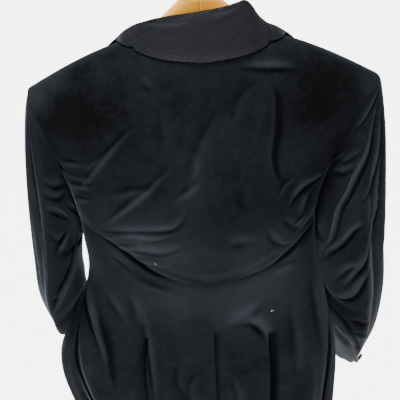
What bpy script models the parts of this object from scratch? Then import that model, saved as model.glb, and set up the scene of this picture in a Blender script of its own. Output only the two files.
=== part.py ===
"""White tie tailcoat in black velvet, with a ribbed silk shawl collar, on a wooden hanger.

Metres, +Z up. The coat's front faces -Y and its back +Y. The wearer's left is +X.
The origin is the seat inside the top of the hanger's hook, where a rail carries it.

Every cloth piece is a wall between two skins, lofted through sections of the coat.
The body is one smooth surface with two coordinates. Across: 0 is the centre back, 1 the
underarm and 2 the centre front. Down: 0 is the shoulder line and 1 the underarm, and
from there on each unit is one metre. The seams are lines on that surface, so the
pieces meet along them with a narrow gap.
"""
import math

import bmesh
import bpy
import numpy as np
from mathutils import Vector

# Walls and gaps
WALL = 0.0018
SEAM_GAP = 0.0003
SEAM_HALF = SEAM_GAP / 2
ARMHOLE_GAP = 0.0006
SHOULDER_START = 0.0012
LAYER_GAP = 0.0042
STEP = 0.0005
DOWN_STEP = 0.002
ACROSS_STEP = 0.004
ROUND_STEP = 0.003
ROW_STEP = 0.02

# Heights below the hook's seat
NAPE_Z = -0.128
UNDERARM_Z = -0.412
WAIST_Z = -0.545
FRONT_HEM_Z = -0.716
TAIL_HEM_Z = -1.165
WAIST = 1 + UNDERARM_Z - WAIST_Z
FLAP_END = 1 + UNDERARM_Z - FRONT_HEM_Z
TAIL_END = 1 + UNDERARM_Z - TAIL_HEM_Z

# Shoulder line
NECK_X = 0.086
NECK_Y = 0.008
NECK_Z = -0.131
TIP_X = 0.235
TIP_Y = -0.002
TIP_Z = -0.199
SHOULDER_CROWN = 0.005
NAPE_Y = 0.052
NECK_ACROSS = 0.36
FRONT_NECK_ACROSS = 1.62
PIT_Y = -0.052
PIT_Z = -0.215

LEFT = 1
RIGHT = -1
BACK = "back"
FRONT = "front"

# Body sections: height, half width on each side, depth behind and before the middle
SECTIONS = [
    {"z": -1.170, "left": 0.178, "right": 0.170, "back": 0.084, "front": 0.066},
    {"z": -0.860, "left": 0.208, "right": 0.186, "back": 0.090, "front": 0.070},
    {"z": -0.720, "left": 0.220, "right": 0.190, "back": 0.090, "front": 0.070},
    {"z": -0.600, "left": 0.224, "right": 0.188, "back": 0.086, "front": 0.067},
    {"z": -0.530, "left": 0.186, "right": 0.168, "back": 0.082, "front": 0.065},
    {"z": -0.470, "left": 0.172, "right": 0.155, "back": 0.080, "front": 0.064},
    {"z": -0.412, "left": 0.174, "right": 0.149, "back": 0.080, "front": 0.062},
]
SECTION_POWER = 0.85

# How the yoke leaves its top edge: where across, how far back, how far down
TOP_TANGENTS = [
    {"across": 0.00, "out": 0.050, "down": 0.240},
    {"across": 0.20, "out": 0.120, "down": 0.200},
    {"across": 0.36, "out": 0.250, "down": 0.000},
    {"across": 0.70, "out": 0.270, "down": 0.000},
    {"across": 1.00, "out": 0.200, "down": 0.000},
    {"across": 1.30, "out": 0.210, "down": 0.000},
    {"across": 1.62, "out": 0.170, "down": 0.000},
    {"across": 2.00, "out": 0.060, "down": 0.120},
]

# Seam between back and side body, and the side seam: where across at each height down
BACK_SEAM = [
    {"down": 0.000, "across": 1.000},
    {"down": 0.560, "across": 1.000},
    {"down": 0.800, "across": 0.700},
    {"down": 1.000, "across": 0.540},
    {"down": 1.133, "across": 0.380},
    {"down": 1.300, "across": 0.340},
    {"down": 1.758, "across": 0.320},
]
SIDE_SEAM = [
    {"down": 0.000, "left": 1.000, "right": 1.000},
    {"down": 1.000, "left": 1.000, "right": 1.000},
    {"down": 1.068, "left": 0.920, "right": 0.940},
    {"down": 1.133, "left": 0.780, "right": 0.860},
    {"down": 1.200, "left": 0.660, "right": 0.780},
    {"down": 1.310, "left": 0.580, "right": 0.740},
]
FRONT_EDGE = [
    {"down": 0.000, "across": 1.620},
    {"down": 0.500, "across": 1.660},
    {"down": 1.000, "across": 1.780},
    {"down": 1.150, "across": 1.830},
    {"down": 1.310, "across": 1.720},
]
SKIRT_EDGE = [
    {"down": 1.133, "across": 1.200},
    {"down": 1.250, "across": 1.120},
    {"down": 1.450, "across": 0.900},
    {"down": 1.758, "across": 0.640},
]
SIDE_BODY_START = 0.620
UNDERLAP = 0.10
VENT_TOP = WAIST
VENT_UNDERLAP = 0.12
VENT_DEPTH = LAYER_GAP + WALL + 0.001
VENT_OPENS = 0.02
VENT_SINKS = (-0.010, 0.003)
VENT_STEP = (-0.010, 0.060)
PLEAT_WIDTH = 0.07
FLAP_WIDTH = (0.07, 0.01)
FLAP_FREE = (0.005, 0.050)

# Rows that all the body's pieces share, closest where the waist folds lie
BODY_STRETCHES = [
    {"to": 0.080, "steps": 2},
    {"to": 0.530, "steps": 6},
    {"to": SIDE_BODY_START, "steps": 1},
    {"to": 0.820, "steps": 3},
    {"to": 1.000, "steps": 5},
    {"to": 1.060, "steps": 5},
    {"to": WAIST, "steps": 4},
    {"to": 1.205, "steps": 4},
    {"to": FLAP_END, "steps": 3},
    {"to": TAIL_END, "steps": 6},
]

# Large folds on the back: a line through x and z, its half width and its height outward
WAIST_FOLD = [
    {"x": 0.178, "z": -0.385}, {"x": 0.120, "z": -0.416}, {"x": 0.070, "z": -0.446},
    {"x": 0.005, "z": -0.463}, {"x": -0.053, "z": -0.452}, {"x": -0.110, "z": -0.422},
    {"x": -0.146, "z": -0.390},
]
SECOND_FOLD = [
    {"x": 0.160, "z": -0.375}, {"x": 0.110, "z": -0.390}, {"x": 0.060, "z": -0.392},
]
LEFT_DRAG = [{"x": 0.105, "z": -0.235}, {"x": 0.165, "z": -0.330}]
LOW_DRAG = [{"x": 0.060, "z": -0.315}, {"x": 0.130, "z": -0.375}]
RIGHT_DRAG = [{"x": -0.100, "z": -0.220}, {"x": -0.096, "z": -0.300}, {"x": -0.120, "z": -0.365}]
MID_DRAG = [{"x": -0.030, "z": -0.245}, {"x": 0.035, "z": -0.350}]
FOLDS = [
    {"line": WAIST_FOLD, "rise": 0.000, "half_width": 0.011, "height": -0.0075},
    {"line": WAIST_FOLD, "rise": 0.027, "half_width": 0.017, "height": 0.0085},
    {"line": SECOND_FOLD, "rise": 0.000, "half_width": 0.010, "height": -0.0030},
    {"line": LEFT_DRAG, "rise": 0.000, "half_width": 0.012, "height": 0.0035},
    {"line": LOW_DRAG, "rise": 0.000, "half_width": 0.011, "height": 0.0040},
    {"line": MID_DRAG, "rise": 0.000, "half_width": 0.012, "height": 0.0035},
    {"line": RIGHT_DRAG, "rise": 0.000, "half_width": 0.009, "height": -0.0045},
]

# Where the folds fade: toward the armhole, below the shoulder, at the waist seam, at their ends
FADE_SIDE = 0.86
FADE_TOP = (0.05, 0.20)
FADE_WAIST = (1.12, 1.14)
FADE_ENDS = 0.25

# Drape waves of the tails: where across, half width, height, and the height where they start
TAIL_WAVES = [
    {"side": LEFT, "across": 0.16, "half_width": 0.05, "height": 0.004},
    {"side": LEFT, "across": 0.52, "half_width": 0.06, "height": 0.008},
    {"side": LEFT, "across": 0.66, "half_width": 0.04, "height": -0.006},
    {"side": LEFT, "across": 0.84, "half_width": 0.06, "height": 0.006},
    {"side": RIGHT, "across": 0.12, "half_width": 0.05, "height": 0.003},
    {"side": RIGHT, "across": 0.50, "half_width": 0.07, "height": 0.007},
    {"side": RIGHT, "across": 0.72, "half_width": 0.05, "height": -0.005},
    {"side": RIGHT, "across": 0.88, "half_width": 0.05, "height": 0.004},
]
WAVE_START = 1.13
WAVE_GROWTH = 0.18

# Sleeve sections: centre, half size across and front to back, and how far the ring tips forward
SLEEVE_SECTIONS = {
    LEFT: [
        {"along": 0.40, "x": 0.2175, "y": -0.004, "z": -0.420, "half_x": 0.035, "half_y": 0.084, "tilt": 4},
        {"along": 0.56, "x": 0.225, "y": -0.012, "z": -0.475, "half_x": 0.029, "half_y": 0.080, "tilt": 14},
        {"along": 0.70, "x": 0.2335, "y": -0.045, "z": -0.522, "half_x": 0.021, "half_y": 0.076, "tilt": 32},
        {"along": 0.85, "x": 0.2430, "y": -0.112, "z": -0.565, "half_x": 0.015, "half_y": 0.070, "tilt": 46},
        {"along": 1.00, "x": 0.2520, "y": -0.195, "z": -0.605, "half_x": 0.012, "half_y": 0.064, "tilt": 48},
    ],
    RIGHT: [
        {"along": 0.40, "x": -0.203, "y": -0.004, "z": -0.425, "half_x": 0.046, "half_y": 0.082, "tilt": 4},
        {"along": 0.56, "x": -0.212, "y": -0.012, "z": -0.495, "half_x": 0.043, "half_y": 0.078, "tilt": 12},
        {"along": 0.70, "x": -0.220, "y": -0.040, "z": -0.555, "half_x": 0.038, "half_y": 0.073, "tilt": 26},
        {"along": 0.85, "x": -0.228, "y": -0.105, "z": -0.625, "half_x": 0.033, "half_y": 0.068, "tilt": 38},
        {"along": 1.00, "x": -0.234, "y": -0.190, "z": -0.693, "half_x": 0.030, "half_y": 0.064, "tilt": 40},
    ],
}
CAP_ALONG = 0.40
CAP_OUT = 0.055
UNDERARM_OUT = 0.012
CAP_DROP = 0.35
SLEEVE_STRETCHES = [
    {"to": 0.12, "steps": 3},
    {"to": CAP_ALONG, "steps": 4},
    {"to": 0.57, "steps": 3},
    {"to": 0.77, "steps": 4},
    {"to": 1.00, "steps": 4},
]
SLEEVE_SEAM_HALF = 0.00025
# The two seams of a sleeve, as a share of the way round: 0 is outer, a quarter the back
HIND_SEAM = 0.30
FORE_SEAM = 0.70
# Long ridges of the sleeves, as a share of the way round
SLEEVE_WAVES = [
    {"side": LEFT, "round": 0.10, "half_width": 0.030, "height": 0.004},
    {"side": LEFT, "round": 0.18, "half_width": 0.030, "height": -0.003},
    {"side": RIGHT, "round": 0.08, "half_width": 0.030, "height": 0.005},
    {"side": RIGHT, "round": 0.16, "half_width": 0.026, "height": -0.005},
    {"side": RIGHT, "round": 0.24, "half_width": 0.030, "height": 0.005},
]
RIDGE_START = (0.04, 0.20)
RIDGE_END = (0.80, 1.00)
RIDGE_LOSS = 0.6
# Folds across the inside of the elbow and under the arm
BEND_ROUND = 0.42
BEND_SPREAD = 0.16
SLEEVE_BENDS = [
    {"side": LEFT, "along": 0.36, "half_width": 0.025, "height": -0.004},
    {"side": LEFT, "along": 0.64, "half_width": 0.030, "height": -0.005},
    {"side": RIGHT, "along": 0.60, "half_width": 0.026, "height": -0.006},
    {"side": RIGHT, "along": 0.68, "half_width": 0.026, "height": 0.005},
    {"side": RIGHT, "along": 0.76, "half_width": 0.028, "height": -0.006},
]

# Collar: the roll stands above the neckline, the leaf edge lies on the coat
COLLAR_WALL = 0.0016
COLLAR_LIFT = [
    {"along": 0.00, "left": 0.0360, "right": 0.0360},
    {"along": 0.25, "left": 0.0290, "right": 0.0390},
    {"along": 0.42, "left": 0.0220, "right": 0.0320},
    {"along": 0.55, "left": 0.0100, "right": 0.0130},
    {"along": 0.68, "left": 0.0052, "right": 0.0052},
    {"along": 1.00, "left": 0.0048, "right": 0.0048},
]
COLLAR_TURN = 0.42
COLLAR_START = 0.0012
COLLAR_COLUMNS = [
    {"to": COLLAR_TURN, "steps": 8},
    {"to": 0.55, "steps": 4},
    {"to": 1.00, "steps": 7},
]
COLLAR_ROWS = [
    {"to": 1.00, "steps": 2},
    {"to": 1.32, "steps": 3},
    {"to": 2.00, "steps": 3},
]
LEAF_BACK_DOWN = 0.105
LEAF_CROSS_ACROSS = 0.455
LEAF_EDGE = [
    {"down": 0.00, "across": 1.528},
    {"down": 0.25, "across": 1.400},
    {"down": 0.50, "across": 1.330},
    {"down": 0.75, "across": 1.370},
    {"down": 1.00, "across": 1.550},
    {"down": 1.13, "across": 1.780},
]
ROLL_END = 1.130
LEAF_LIFT = 0.0048
COLLAR_FOOT_GAP = 0.0007
ROLL_BEYOND = 0.0032
STAND_HOLLOW = 0.002
ROLL_ROUND = 0.030
ROLL_RISE = 0.35
LEAF_PULL = 0.9
LEAF_SPRING = 0.004
LEAF_DROP = 0.55
LEAF_OUT = 0.35
LEAF_BACK_POWER = 2.2
CHEST_FROM = 0.01
CHEST_TURN = 0.35
FLATTEN = (-0.02, 0.22)
AHEAD_STEP = 0.03

# Hanger: sections of one arm, with the top's height, half thickness and height of the wood
ARM_SECTIONS = [
    {"x": 0.000, "z": -0.0680, "y": 0.0000, "half_y": 0.0085, "height": 0.052},
    {"x": 0.008, "z": -0.0700, "y": 0.0000, "half_y": 0.0085, "height": 0.052},
    {"x": 0.018, "z": -0.0780, "y": 0.0000, "half_y": 0.0085, "height": 0.048},
    {"x": 0.028, "z": -0.0885, "y": 0.0005, "half_y": 0.0080, "height": 0.043},
    {"x": 0.045, "z": -0.1030, "y": 0.0020, "half_y": 0.0080, "height": 0.036},
    {"x": 0.070, "z": -0.1265, "y": 0.0050, "half_y": 0.0080, "height": 0.030},
    {"x": 0.100, "z": -0.1440, "y": 0.0065, "half_y": 0.0085, "height": 0.028},
    {"x": 0.140, "z": -0.1600, "y": 0.0045, "half_y": 0.0095, "height": 0.028},
    {"x": 0.180, "z": -0.1800, "y": 0.0015, "half_y": 0.0105, "height": 0.026},
    {"x": 0.203, "z": -0.1915, "y": 0.0000, "half_y": 0.0100, "height": 0.020},
    {"x": 0.210, "z": -0.1960, "y": 0.0000, "half_y": 0.0060, "height": 0.010},
]
ARM_CLEAR = 0.0006
ARM_DIP = 0.0050
ARM_END_ROUND = (0.190, 0.212)
ARM_MEETS_CLOTH = (0.066, 0.096)
ARM_START = 0.00015
ARM_STRETCHES = [
    {"to": 0.018, "steps": 2},
    {"to": 0.070, "steps": 4},
    {"to": 0.100, "steps": 3},
    {"to": 0.185, "steps": 3},
    {"to": 0.210, "steps": 3},
]
ARM_SIDES = 16
ARM_POWER = 0.8
WIRE_RADIUS = 0.0019
HOOK_RADIUS = 0.019
HOOK_FOOT_Z = -0.0676
HOOK_START_ANGLE = 155
HOOK_END_ANGLE = -75
HOOK_STEPS = 22
HOOK_NECK = 0.010

# Buttons
FRONT_BUTTON_RADIUS = 0.0095
CUFF_BUTTON_RADIUS = 0.0065
BUTTON_HEIGHT = 0.0042
BUTTON_SIDES = 14
BUTTON_EDGE = 0.00126
BUTTON_GAP = 0.0003
FRONT_BUTTONS = [
    {"down": 1.030, "across": 1.40},
    {"down": 1.085, "across": 1.47},
    {"down": 1.140, "across": 1.54},
]
CUFF_BUTTONS = [0.915, 0.955]
CUFF_BUTTON_ROUND = {LEFT: 0.25, RIGHT: 0.20}

# Looks
VELVET = {"color": (0.012, 0.013, 0.016, 1), "roughness": 0.85, "metallic": 0.0}
SILK = {"color": (0.026, 0.028, 0.038, 1), "roughness": 0.50, "metallic": 0.0}
WOOD = {"color": (0.75, 0.42, 0.13, 1), "roughness": 0.35, "metallic": 0.0}
STEEL = {"color": (0.70, 0.70, 0.70, 1), "roughness": 0.25, "metallic": 1.0}


def stations(start, stretches):
    """Places from a start on: each stretch of the table runs to its end in even steps."""
    places = [start]
    for row in stretches:
        places.extend(np.linspace(places[-1], row["to"], row["steps"] + 1)[1:])
    return np.array(places)


def ramp(table, key, column, at):
    """The value of a column at places between the rows of a table, on a smooth curve."""
    keys = np.array([row[key] for row in table])
    values = np.array([row[column] for row in table])
    slopes = np.gradient(values, keys)
    spot = np.clip(at, keys[0], keys[-1])
    i = np.clip(np.searchsorted(keys, spot, side="right") - 1, 0, len(keys) - 2)
    span = keys[i + 1] - keys[i]
    steps = (values[i + 1] - values[i]) / span
    start = np.clip(slopes[i], -3 * abs(steps), 3 * abs(steps))
    end = np.clip(slopes[i + 1], -3 * abs(steps), 3 * abs(steps))
    return hermite(values[i], values[i + 1], start * span, end * span, (spot - keys[i]) / span)


def hermite(a, b, leave, arrive, t):
    """A cubic from a to b that leaves and arrives with the given tangents."""
    return ((2 * t**3 - 3 * t**2 + 1) * a + (t**3 - 2 * t**2 + t) * leave
            + (3 * t**2 - 2 * t**3) * b + (t**3 - t**2) * arrive)


def smooth(low, high, value):
    """0 below low, 1 above high, and an even curve between."""
    t = np.clip((value - low) / (high - low), 0.0, 1.0)
    return t * t * (3 - 2 * t)


def bump(distance, half_width):
    """A soft hill of height 1."""
    return np.exp(-(distance / half_width) ** 2)


def points(x, y, z):
    """Three grids of numbers as one grid of points."""
    return np.stack(np.broadcast_arrays(x, y, z), -1)


def unit(vectors):
    """The same directions with length 1."""
    return vectors / np.maximum(np.linalg.norm(vectors, axis=-1, keepdims=True), 1e-9)


def shoulder_height(share):
    """The height of the shoulder line, slightly crowned between the neck and the tip."""
    return NECK_Z + (TIP_Z - NECK_Z) * share + SHOULDER_CROWN * np.sin(math.pi * share)


def top_edge(side, across):
    """The neckline and the shoulder line, round one half of the coat."""
    back_turn = np.clip(across / NECK_ACROSS, -1, 1) * math.pi / 2
    neck = points(NECK_X * np.sin(back_turn), NECK_Y + (NAPE_Y - NECK_Y) * np.cos(back_turn),
                  NAPE_Z + (1 - np.cos(back_turn)) * (NECK_Z - NAPE_Z))
    behind = np.clip((across - NECK_ACROSS) / (1 - NECK_ACROSS), 0, 1)
    before = np.clip((FRONT_NECK_ACROSS - across) / (FRONT_NECK_ACROSS - 1), 0, 1)
    share = np.where(across <= 1, behind, before)
    shoulder = points(NECK_X + (TIP_X - NECK_X) * share, NECK_Y + (TIP_Y - NECK_Y) * share,
                      shoulder_height(share))
    front_turn = np.clip((across - FRONT_NECK_ACROSS) / (2 - FRONT_NECK_ACROSS), 0, 1) * math.pi / 2
    throat = points(NECK_X * np.cos(front_turn), NECK_Y + (PIT_Y - NECK_Y) * np.sin(front_turn),
                    NECK_Z + (PIT_Z - NECK_Z) * (1 - np.cos(front_turn)))
    wide = across[..., None]
    place = np.where(wide <= NECK_ACROSS, neck, np.where(wide <= FRONT_NECK_ACROSS, shoulder, throat))
    return place * (side, 1, 1)


def section_point(side, across, height):
    """Places of the body below the underarm."""
    half = ramp(SECTIONS, "z", "left" if side == LEFT else "right", height)
    turn = across * math.pi / 2
    x = side * half * np.sign(np.sin(turn)) * abs(np.sin(turn)) ** SECTION_POWER
    behind = ramp(SECTIONS, "z", "back", height) * np.cos(turn)
    before = -ramp(SECTIONS, "z", "front", height) * abs(np.cos(turn)) ** SECTION_POWER
    return points(x, np.where(across <= 1, behind, before), height)


def smooth_body(side, face, across, down):
    """The coat's surface with no folds."""
    below = section_point(side, across, UNDERARM_Z - np.maximum(down - 1, 0))
    top = top_edge(side, across)
    low = section_point(side, across, np.full_like(across, UNDERARM_Z))
    under = section_point(side, across, np.full_like(across, UNDERARM_Z - STEP))
    reach = np.linalg.norm(low - top, axis=-1, keepdims=True)
    arrive = (under - low) / STEP * reach
    away = 1 if face == BACK else -1
    leave = points(0, away * ramp(TOP_TANGENTS, "across", "out", across),
                   -ramp(TOP_TANGENTS, "across", "down", across))
    yoke = hermite(top, low, leave, arrive, np.clip(down, 0, 1)[..., None])
    return np.where(down[..., None] >= 1, below, yoke)


def line_distance(line, rise, x, z):
    """How far places on the back lie from a fold line, and how far along it they are."""
    best = np.full(np.shape(x), 9.0)
    share = np.zeros(np.shape(x))
    count = len(line) - 1
    for k in range(count):
        ax, az = line[k]["x"], line[k]["z"] + rise
        bx, bz = line[k + 1]["x"] - ax, line[k + 1]["z"] + rise - az
        t = np.clip(((x - ax) * bx + (z - az) * bz) / (bx * bx + bz * bz), 0, 1)
        gap = np.hypot(x - ax - bx * t, z - az - bz * t)
        share = np.where(gap < best, (k + t) / count, share)
        best = np.minimum(gap, best)
    return best, share


def fold_height(side, face, across, down):
    """How far the folds move the surface outward."""
    total = np.zeros(np.shape(across))
    if face == BACK:
        place = smooth_body(side, face, across, down)
        fade = 1 - smooth(FADE_SIDE, 1.0, across)
        fade = fade * smooth(*FADE_TOP, down) * (1 - smooth(*FADE_WAIST, down))
        for fold in FOLDS:
            gap, share = line_distance(fold["line"], fold["rise"], place[..., 0], place[..., 2])
            ends = FADE_ENDS + (1 - FADE_ENDS) * np.sin(math.pi * share) ** 0.5
            total += fold["height"] * bump(gap, fold["half_width"]) * fade * ends
    grow = smooth(WAVE_START, WAVE_START + WAVE_GROWTH, down)
    for wave in TAIL_WAVES:
        if wave["side"] == side:
            total += grow * wave["height"] * bump(across - wave["across"], wave["half_width"])
    return total


def outward(function, side, face, across, down):
    """The direction out of a surface of the body, from small steps along it."""
    above = np.maximum(down - DOWN_STEP, 0)
    along = function(side, face, across, down + DOWN_STEP) - function(side, face, across, above)
    nearer = function(side, face, across - ACROSS_STEP, down)
    round_ = function(side, face, across + ACROSS_STEP, down) - nearer
    return unit(np.cross(round_, along) * side)


def body(side, face, across, down):
    """The coat's outer surface, with its large folds."""
    across, down = np.broadcast_arrays(np.asarray(across, float), np.asarray(down, float))
    height = fold_height(side, face, across, down)
    normal = outward(smooth_body, side, face, across, down)
    return smooth_body(side, face, across, down) + normal * height[..., None]


def body_layer(side, face, across, down, lift):
    """Places moved off the coat's outer surface."""
    across, down = np.broadcast_arrays(np.asarray(across, float), np.asarray(down, float))
    return body(side, face, across, down) + outward(body, side, face, across, down) * lift


def grid_wall(name, outer, inner, look):
    """One closed wall between an outer and an inner skin, each a grid of points."""
    mesh = bpy.data.meshes.new(name)
    form = bmesh.new()
    skins = [[[form.verts.new(point) for point in row] for row in skin] for skin in (outer, inner)]
    rows = len(outer)
    columns = len(outer[0])
    for layer, skin in enumerate(skins):
        for i in range(rows - 1):
            for j in range(columns - 1):
                corners = [skin[i][j], skin[i + 1][j], skin[i + 1][j + 1], skin[i][j + 1]]
                form.faces.new(corners if layer == 0 else corners[::-1])
    border = [(i, 0) for i in range(rows)] + [(rows - 1, j) for j in range(1, columns)]
    border += [(i, columns - 1) for i in range(rows - 2, -1, -1)]
    border += [(0, j) for j in range(columns - 2, 0, -1)]
    for k, (i, j) in enumerate(border):
        m, n = border[(k + 1) % len(border)]
        form.faces.new([skins[0][i][j], skins[1][i][j], skins[1][m][n], skins[0][m][n]])
    bmesh.ops.recalc_face_normals(form, faces=form.faces)
    form.to_mesh(mesh)
    form.free()
    return add_object(name, mesh, look)


def add_object(name, mesh, look):
    """Put a mesh in the coat's collection with a material of its own."""
    thing = bpy.data.objects.new(name, mesh)
    bpy.data.collections["tailcoat"].objects.link(thing)
    material = bpy.data.materials.new(name)
    material.use_nodes = True
    shader = material.node_tree.nodes["Principled BSDF"]
    shader.inputs["Base Color"].default_value = look["color"]
    shader.inputs["Roughness"].default_value = look["roughness"]
    shader.inputs["Metallic"].default_value = look["metallic"]
    mesh.materials.clear()
    mesh.materials.append(material)
    if hasattr(mesh, "shade_smooth"):
        mesh.shade_smooth()
    return thing


def seam_inset(side, face, across, down):
    """Half a seam's gap, as a step across the coat."""
    move = body(side, face, across + 0.01, down) - body(side, face, across, down)
    return SEAM_HALF * 0.01 / np.maximum(np.linalg.norm(move, axis=-1), 1e-6)


def panel(name, side, face, downs, start, stop, columns, sink=None):
    """A panel of the body between two lines across it. sink moves places inward."""
    downs = np.array(downs)
    start = start + seam_inset(side, face, start, downs)
    stop = stop - seam_inset(side, face, stop, downs)
    share = np.linspace(0, 1, columns + 1)
    across = start[:, None] + (stop - start)[:, None] * share
    down = np.broadcast_to(downs[:, None], across.shape)
    place = body(side, face, across, down)
    normal = outward(body, side, face, across, down)
    depth = sink(across, down)[..., None] if sink else 0.0
    outer = place - normal * depth
    return grid_wall(name, outer, outer - normal * WALL, VELVET)


def side_name(side):
    return "left" if side == LEFT else "right"


def rows_between(first, last):
    """The shared heights of the body's rows that lie between two of them."""
    rows = stations(SHOULDER_START, BODY_STRETCHES)
    return rows[(rows > first - STEP) & (rows < last + STEP)]


def make_back(side):
    """The back, cut in one with the centre part of the tail. The right vent lies under the left."""
    downs = rows_between(0, TAIL_END)
    under = side == RIGHT
    centre = -VENT_UNDERLAP * smooth(VENT_TOP, VENT_TOP + VENT_OPENS, downs) * under

    def sink(across, down):
        inward = VENT_DEPTH * smooth(VENT_TOP + VENT_SINKS[0], VENT_TOP + VENT_SINKS[1], down)
        return under * inward * (1 - smooth(*VENT_STEP, across))

    panel(f"back_{side_name(side)}", side, BACK, downs, centre, back_seam(downs), 7, sink)


def back_seam(down):
    return ramp(BACK_SEAM, "down", "across", down)


def side_seam(side, down):
    return ramp(SIDE_SEAM, "down", side_name(side), down)


def front_edge(down):
    return ramp(FRONT_EDGE, "down", "across", down)


def make_side_body(side):
    """The side body, from a point at the armhole to the waist seam."""
    downs = rows_between(SIDE_BODY_START, WAIST)
    panel(f"side_body_{side_name(side)}", side, BACK, downs, back_seam(downs), side_seam(side, downs), 4)


def make_forepart(side):
    """The forepart, from the shoulder to its free hem below the waist."""
    downs = rows_between(0, FLAP_END)
    panel(f"forepart_{side_name(side)}", side, FRONT, downs, side_seam(side, downs), front_edge(downs), 10)


def make_skirt(side):
    """The side part of the tail. It tucks under the back's pleat and under the forepart's hem."""
    downs = rows_between(WAIST, TAIL_END)
    downs[0] += SEAM_GAP

    def sink(across, down):
        seam = back_seam(down)
        side_line = side_seam(side, down)
        under_back = 1 - smooth(seam, seam + PLEAT_WIDTH, across)
        under_flap = smooth(side_line - FLAP_WIDTH[0], side_line - FLAP_WIDTH[1], across)
        under_flap = under_flap * (1 - smooth(FLAP_END + FLAP_FREE[0], FLAP_END + FLAP_FREE[1], down))
        return (LAYER_GAP + WALL) * np.maximum(under_back, under_flap)

    edge = ramp(SKIRT_EDGE, "down", "across", downs)
    panel(f"skirt_{side_name(side)}", side, BACK, downs, back_seam(downs) - UNDERLAP, edge, 12, sink)


def armhole(side, share):
    """The armhole, round from the shoulder tip by the back and the underarm."""
    behind = body(side, BACK, 1.0, np.clip(2 * share, 0, 1))
    before = body(side, FRONT, 1.0, np.clip(2 * (1 - share), 0, 1))
    return np.where(share[..., None] <= 0.5, behind, before)


def sleeve_ring(side, share, along):
    """Places of the sleeve below its cap."""
    table = SLEEVE_SECTIONS[side]
    value = {key: ramp(table, "along", key, along) for key in ("x", "y", "z", "half_x", "half_y", "tilt")}
    turn = share * 2 * math.pi
    tilt = np.radians(value["tilt"])
    across = value["half_x"] * np.cos(turn) * side
    depth = value["half_y"] * np.sin(turn)
    return points(value["x"] + across, value["y"] + depth * np.cos(tilt), value["z"] - depth * np.sin(tilt))


def smooth_sleeve(side, share, along):
    """The sleeve's surface with no folds, from the armhole to the cuff."""
    share = share % 1.0
    cap_end = np.full_like(share, CAP_ALONG)
    start = armhole(side, share)
    end = sleeve_ring(side, share, cap_end)
    beyond = sleeve_ring(side, share, cap_end + 0.02)
    reach = np.linalg.norm(end - start, axis=-1, keepdims=True)
    arrive = unit(beyond - end) * reach
    top = (1 + np.cos(share * 2 * math.pi)) / 2
    out = side * (UNDERARM_OUT + (CAP_OUT - UNDERARM_OUT) * top)
    leave = points(out, 0, -CAP_DROP * reach[..., 0] * (1 - top))
    start = start + np.array((side * ARMHOLE_GAP, 0, 0))
    cap = hermite(start, end, leave, arrive, np.clip(along / CAP_ALONG, 0, 1)[..., None])
    return np.where(along[..., None] >= CAP_ALONG, sleeve_ring(side, share, along), cap)


def sleeve_outward(function, side, share, along):
    """The direction out of the sleeve."""
    nearer = np.maximum(along - ACROSS_STEP, 0)
    lengthwise = function(side, share, np.minimum(along + ACROSS_STEP, 1)) - function(side, share, nearer)
    round_ = function(side, share + ROUND_STEP, along) - function(side, share - ROUND_STEP, along)
    return unit(np.cross(lengthwise, round_) * side)


def sleeve(side, share, along):
    """The sleeve's outer surface, with its long ridges and the folds of the elbow."""
    fade = smooth(*RIDGE_START, along) * (1 - RIDGE_LOSS * smooth(*RIDGE_END, along))
    total = np.zeros(np.shape(along))
    turn = share % 1.0
    for wave in SLEEVE_WAVES:
        if wave["side"] == side:
            total += wave["height"] * bump(turn - wave["round"], wave["half_width"]) * fade
    for bend in SLEEVE_BENDS:
        if bend["side"] == side:
            inside = bump(turn - BEND_ROUND, BEND_SPREAD)
            total += bend["height"] * bump(along - bend["along"], bend["half_width"]) * inside
    normal = sleeve_outward(smooth_sleeve, side, share, along)
    return smooth_sleeve(side, share, along) + normal * total[..., None]


def make_sleeve_piece(name, side, start, stop, columns):
    """One of a sleeve's two pieces, between its seams."""
    alongs = stations(0, SLEEVE_STRETCHES)
    shares = np.linspace(0, 1, columns + 1)
    seam = np.full_like(alongs, HIND_SEAM)
    move = smooth_sleeve(side, seam + ROUND_STEP, alongs) - smooth_sleeve(side, seam, alongs)
    inset = (SLEEVE_SEAM_HALF * ROUND_STEP / np.linalg.norm(move, axis=-1))[:, None]
    share = start + inset + (stop - start - 2 * inset) * shares
    along = np.broadcast_to(alongs[:, None], share.shape)
    outer = sleeve(side, share, along)
    inner = outer - sleeve_outward(sleeve, side, share, along) * WALL
    return grid_wall(name, outer, inner, VELVET)


def make_sleeve(side):
    """The top sleeve and the under sleeve."""
    make_sleeve_piece(f"top_sleeve_{side_name(side)}", side, FORE_SEAM - 1, HIND_SEAM, 12)
    make_sleeve_piece(f"under_sleeve_{side_name(side)}", side, HIND_SEAM, FORE_SEAM, 8)


def collar_down(along):
    """How far down the forepart a place along the collar lies."""
    return np.maximum(ROLL_END * (along - COLLAR_TURN) / (1 - COLLAR_TURN), 0.001)


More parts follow.
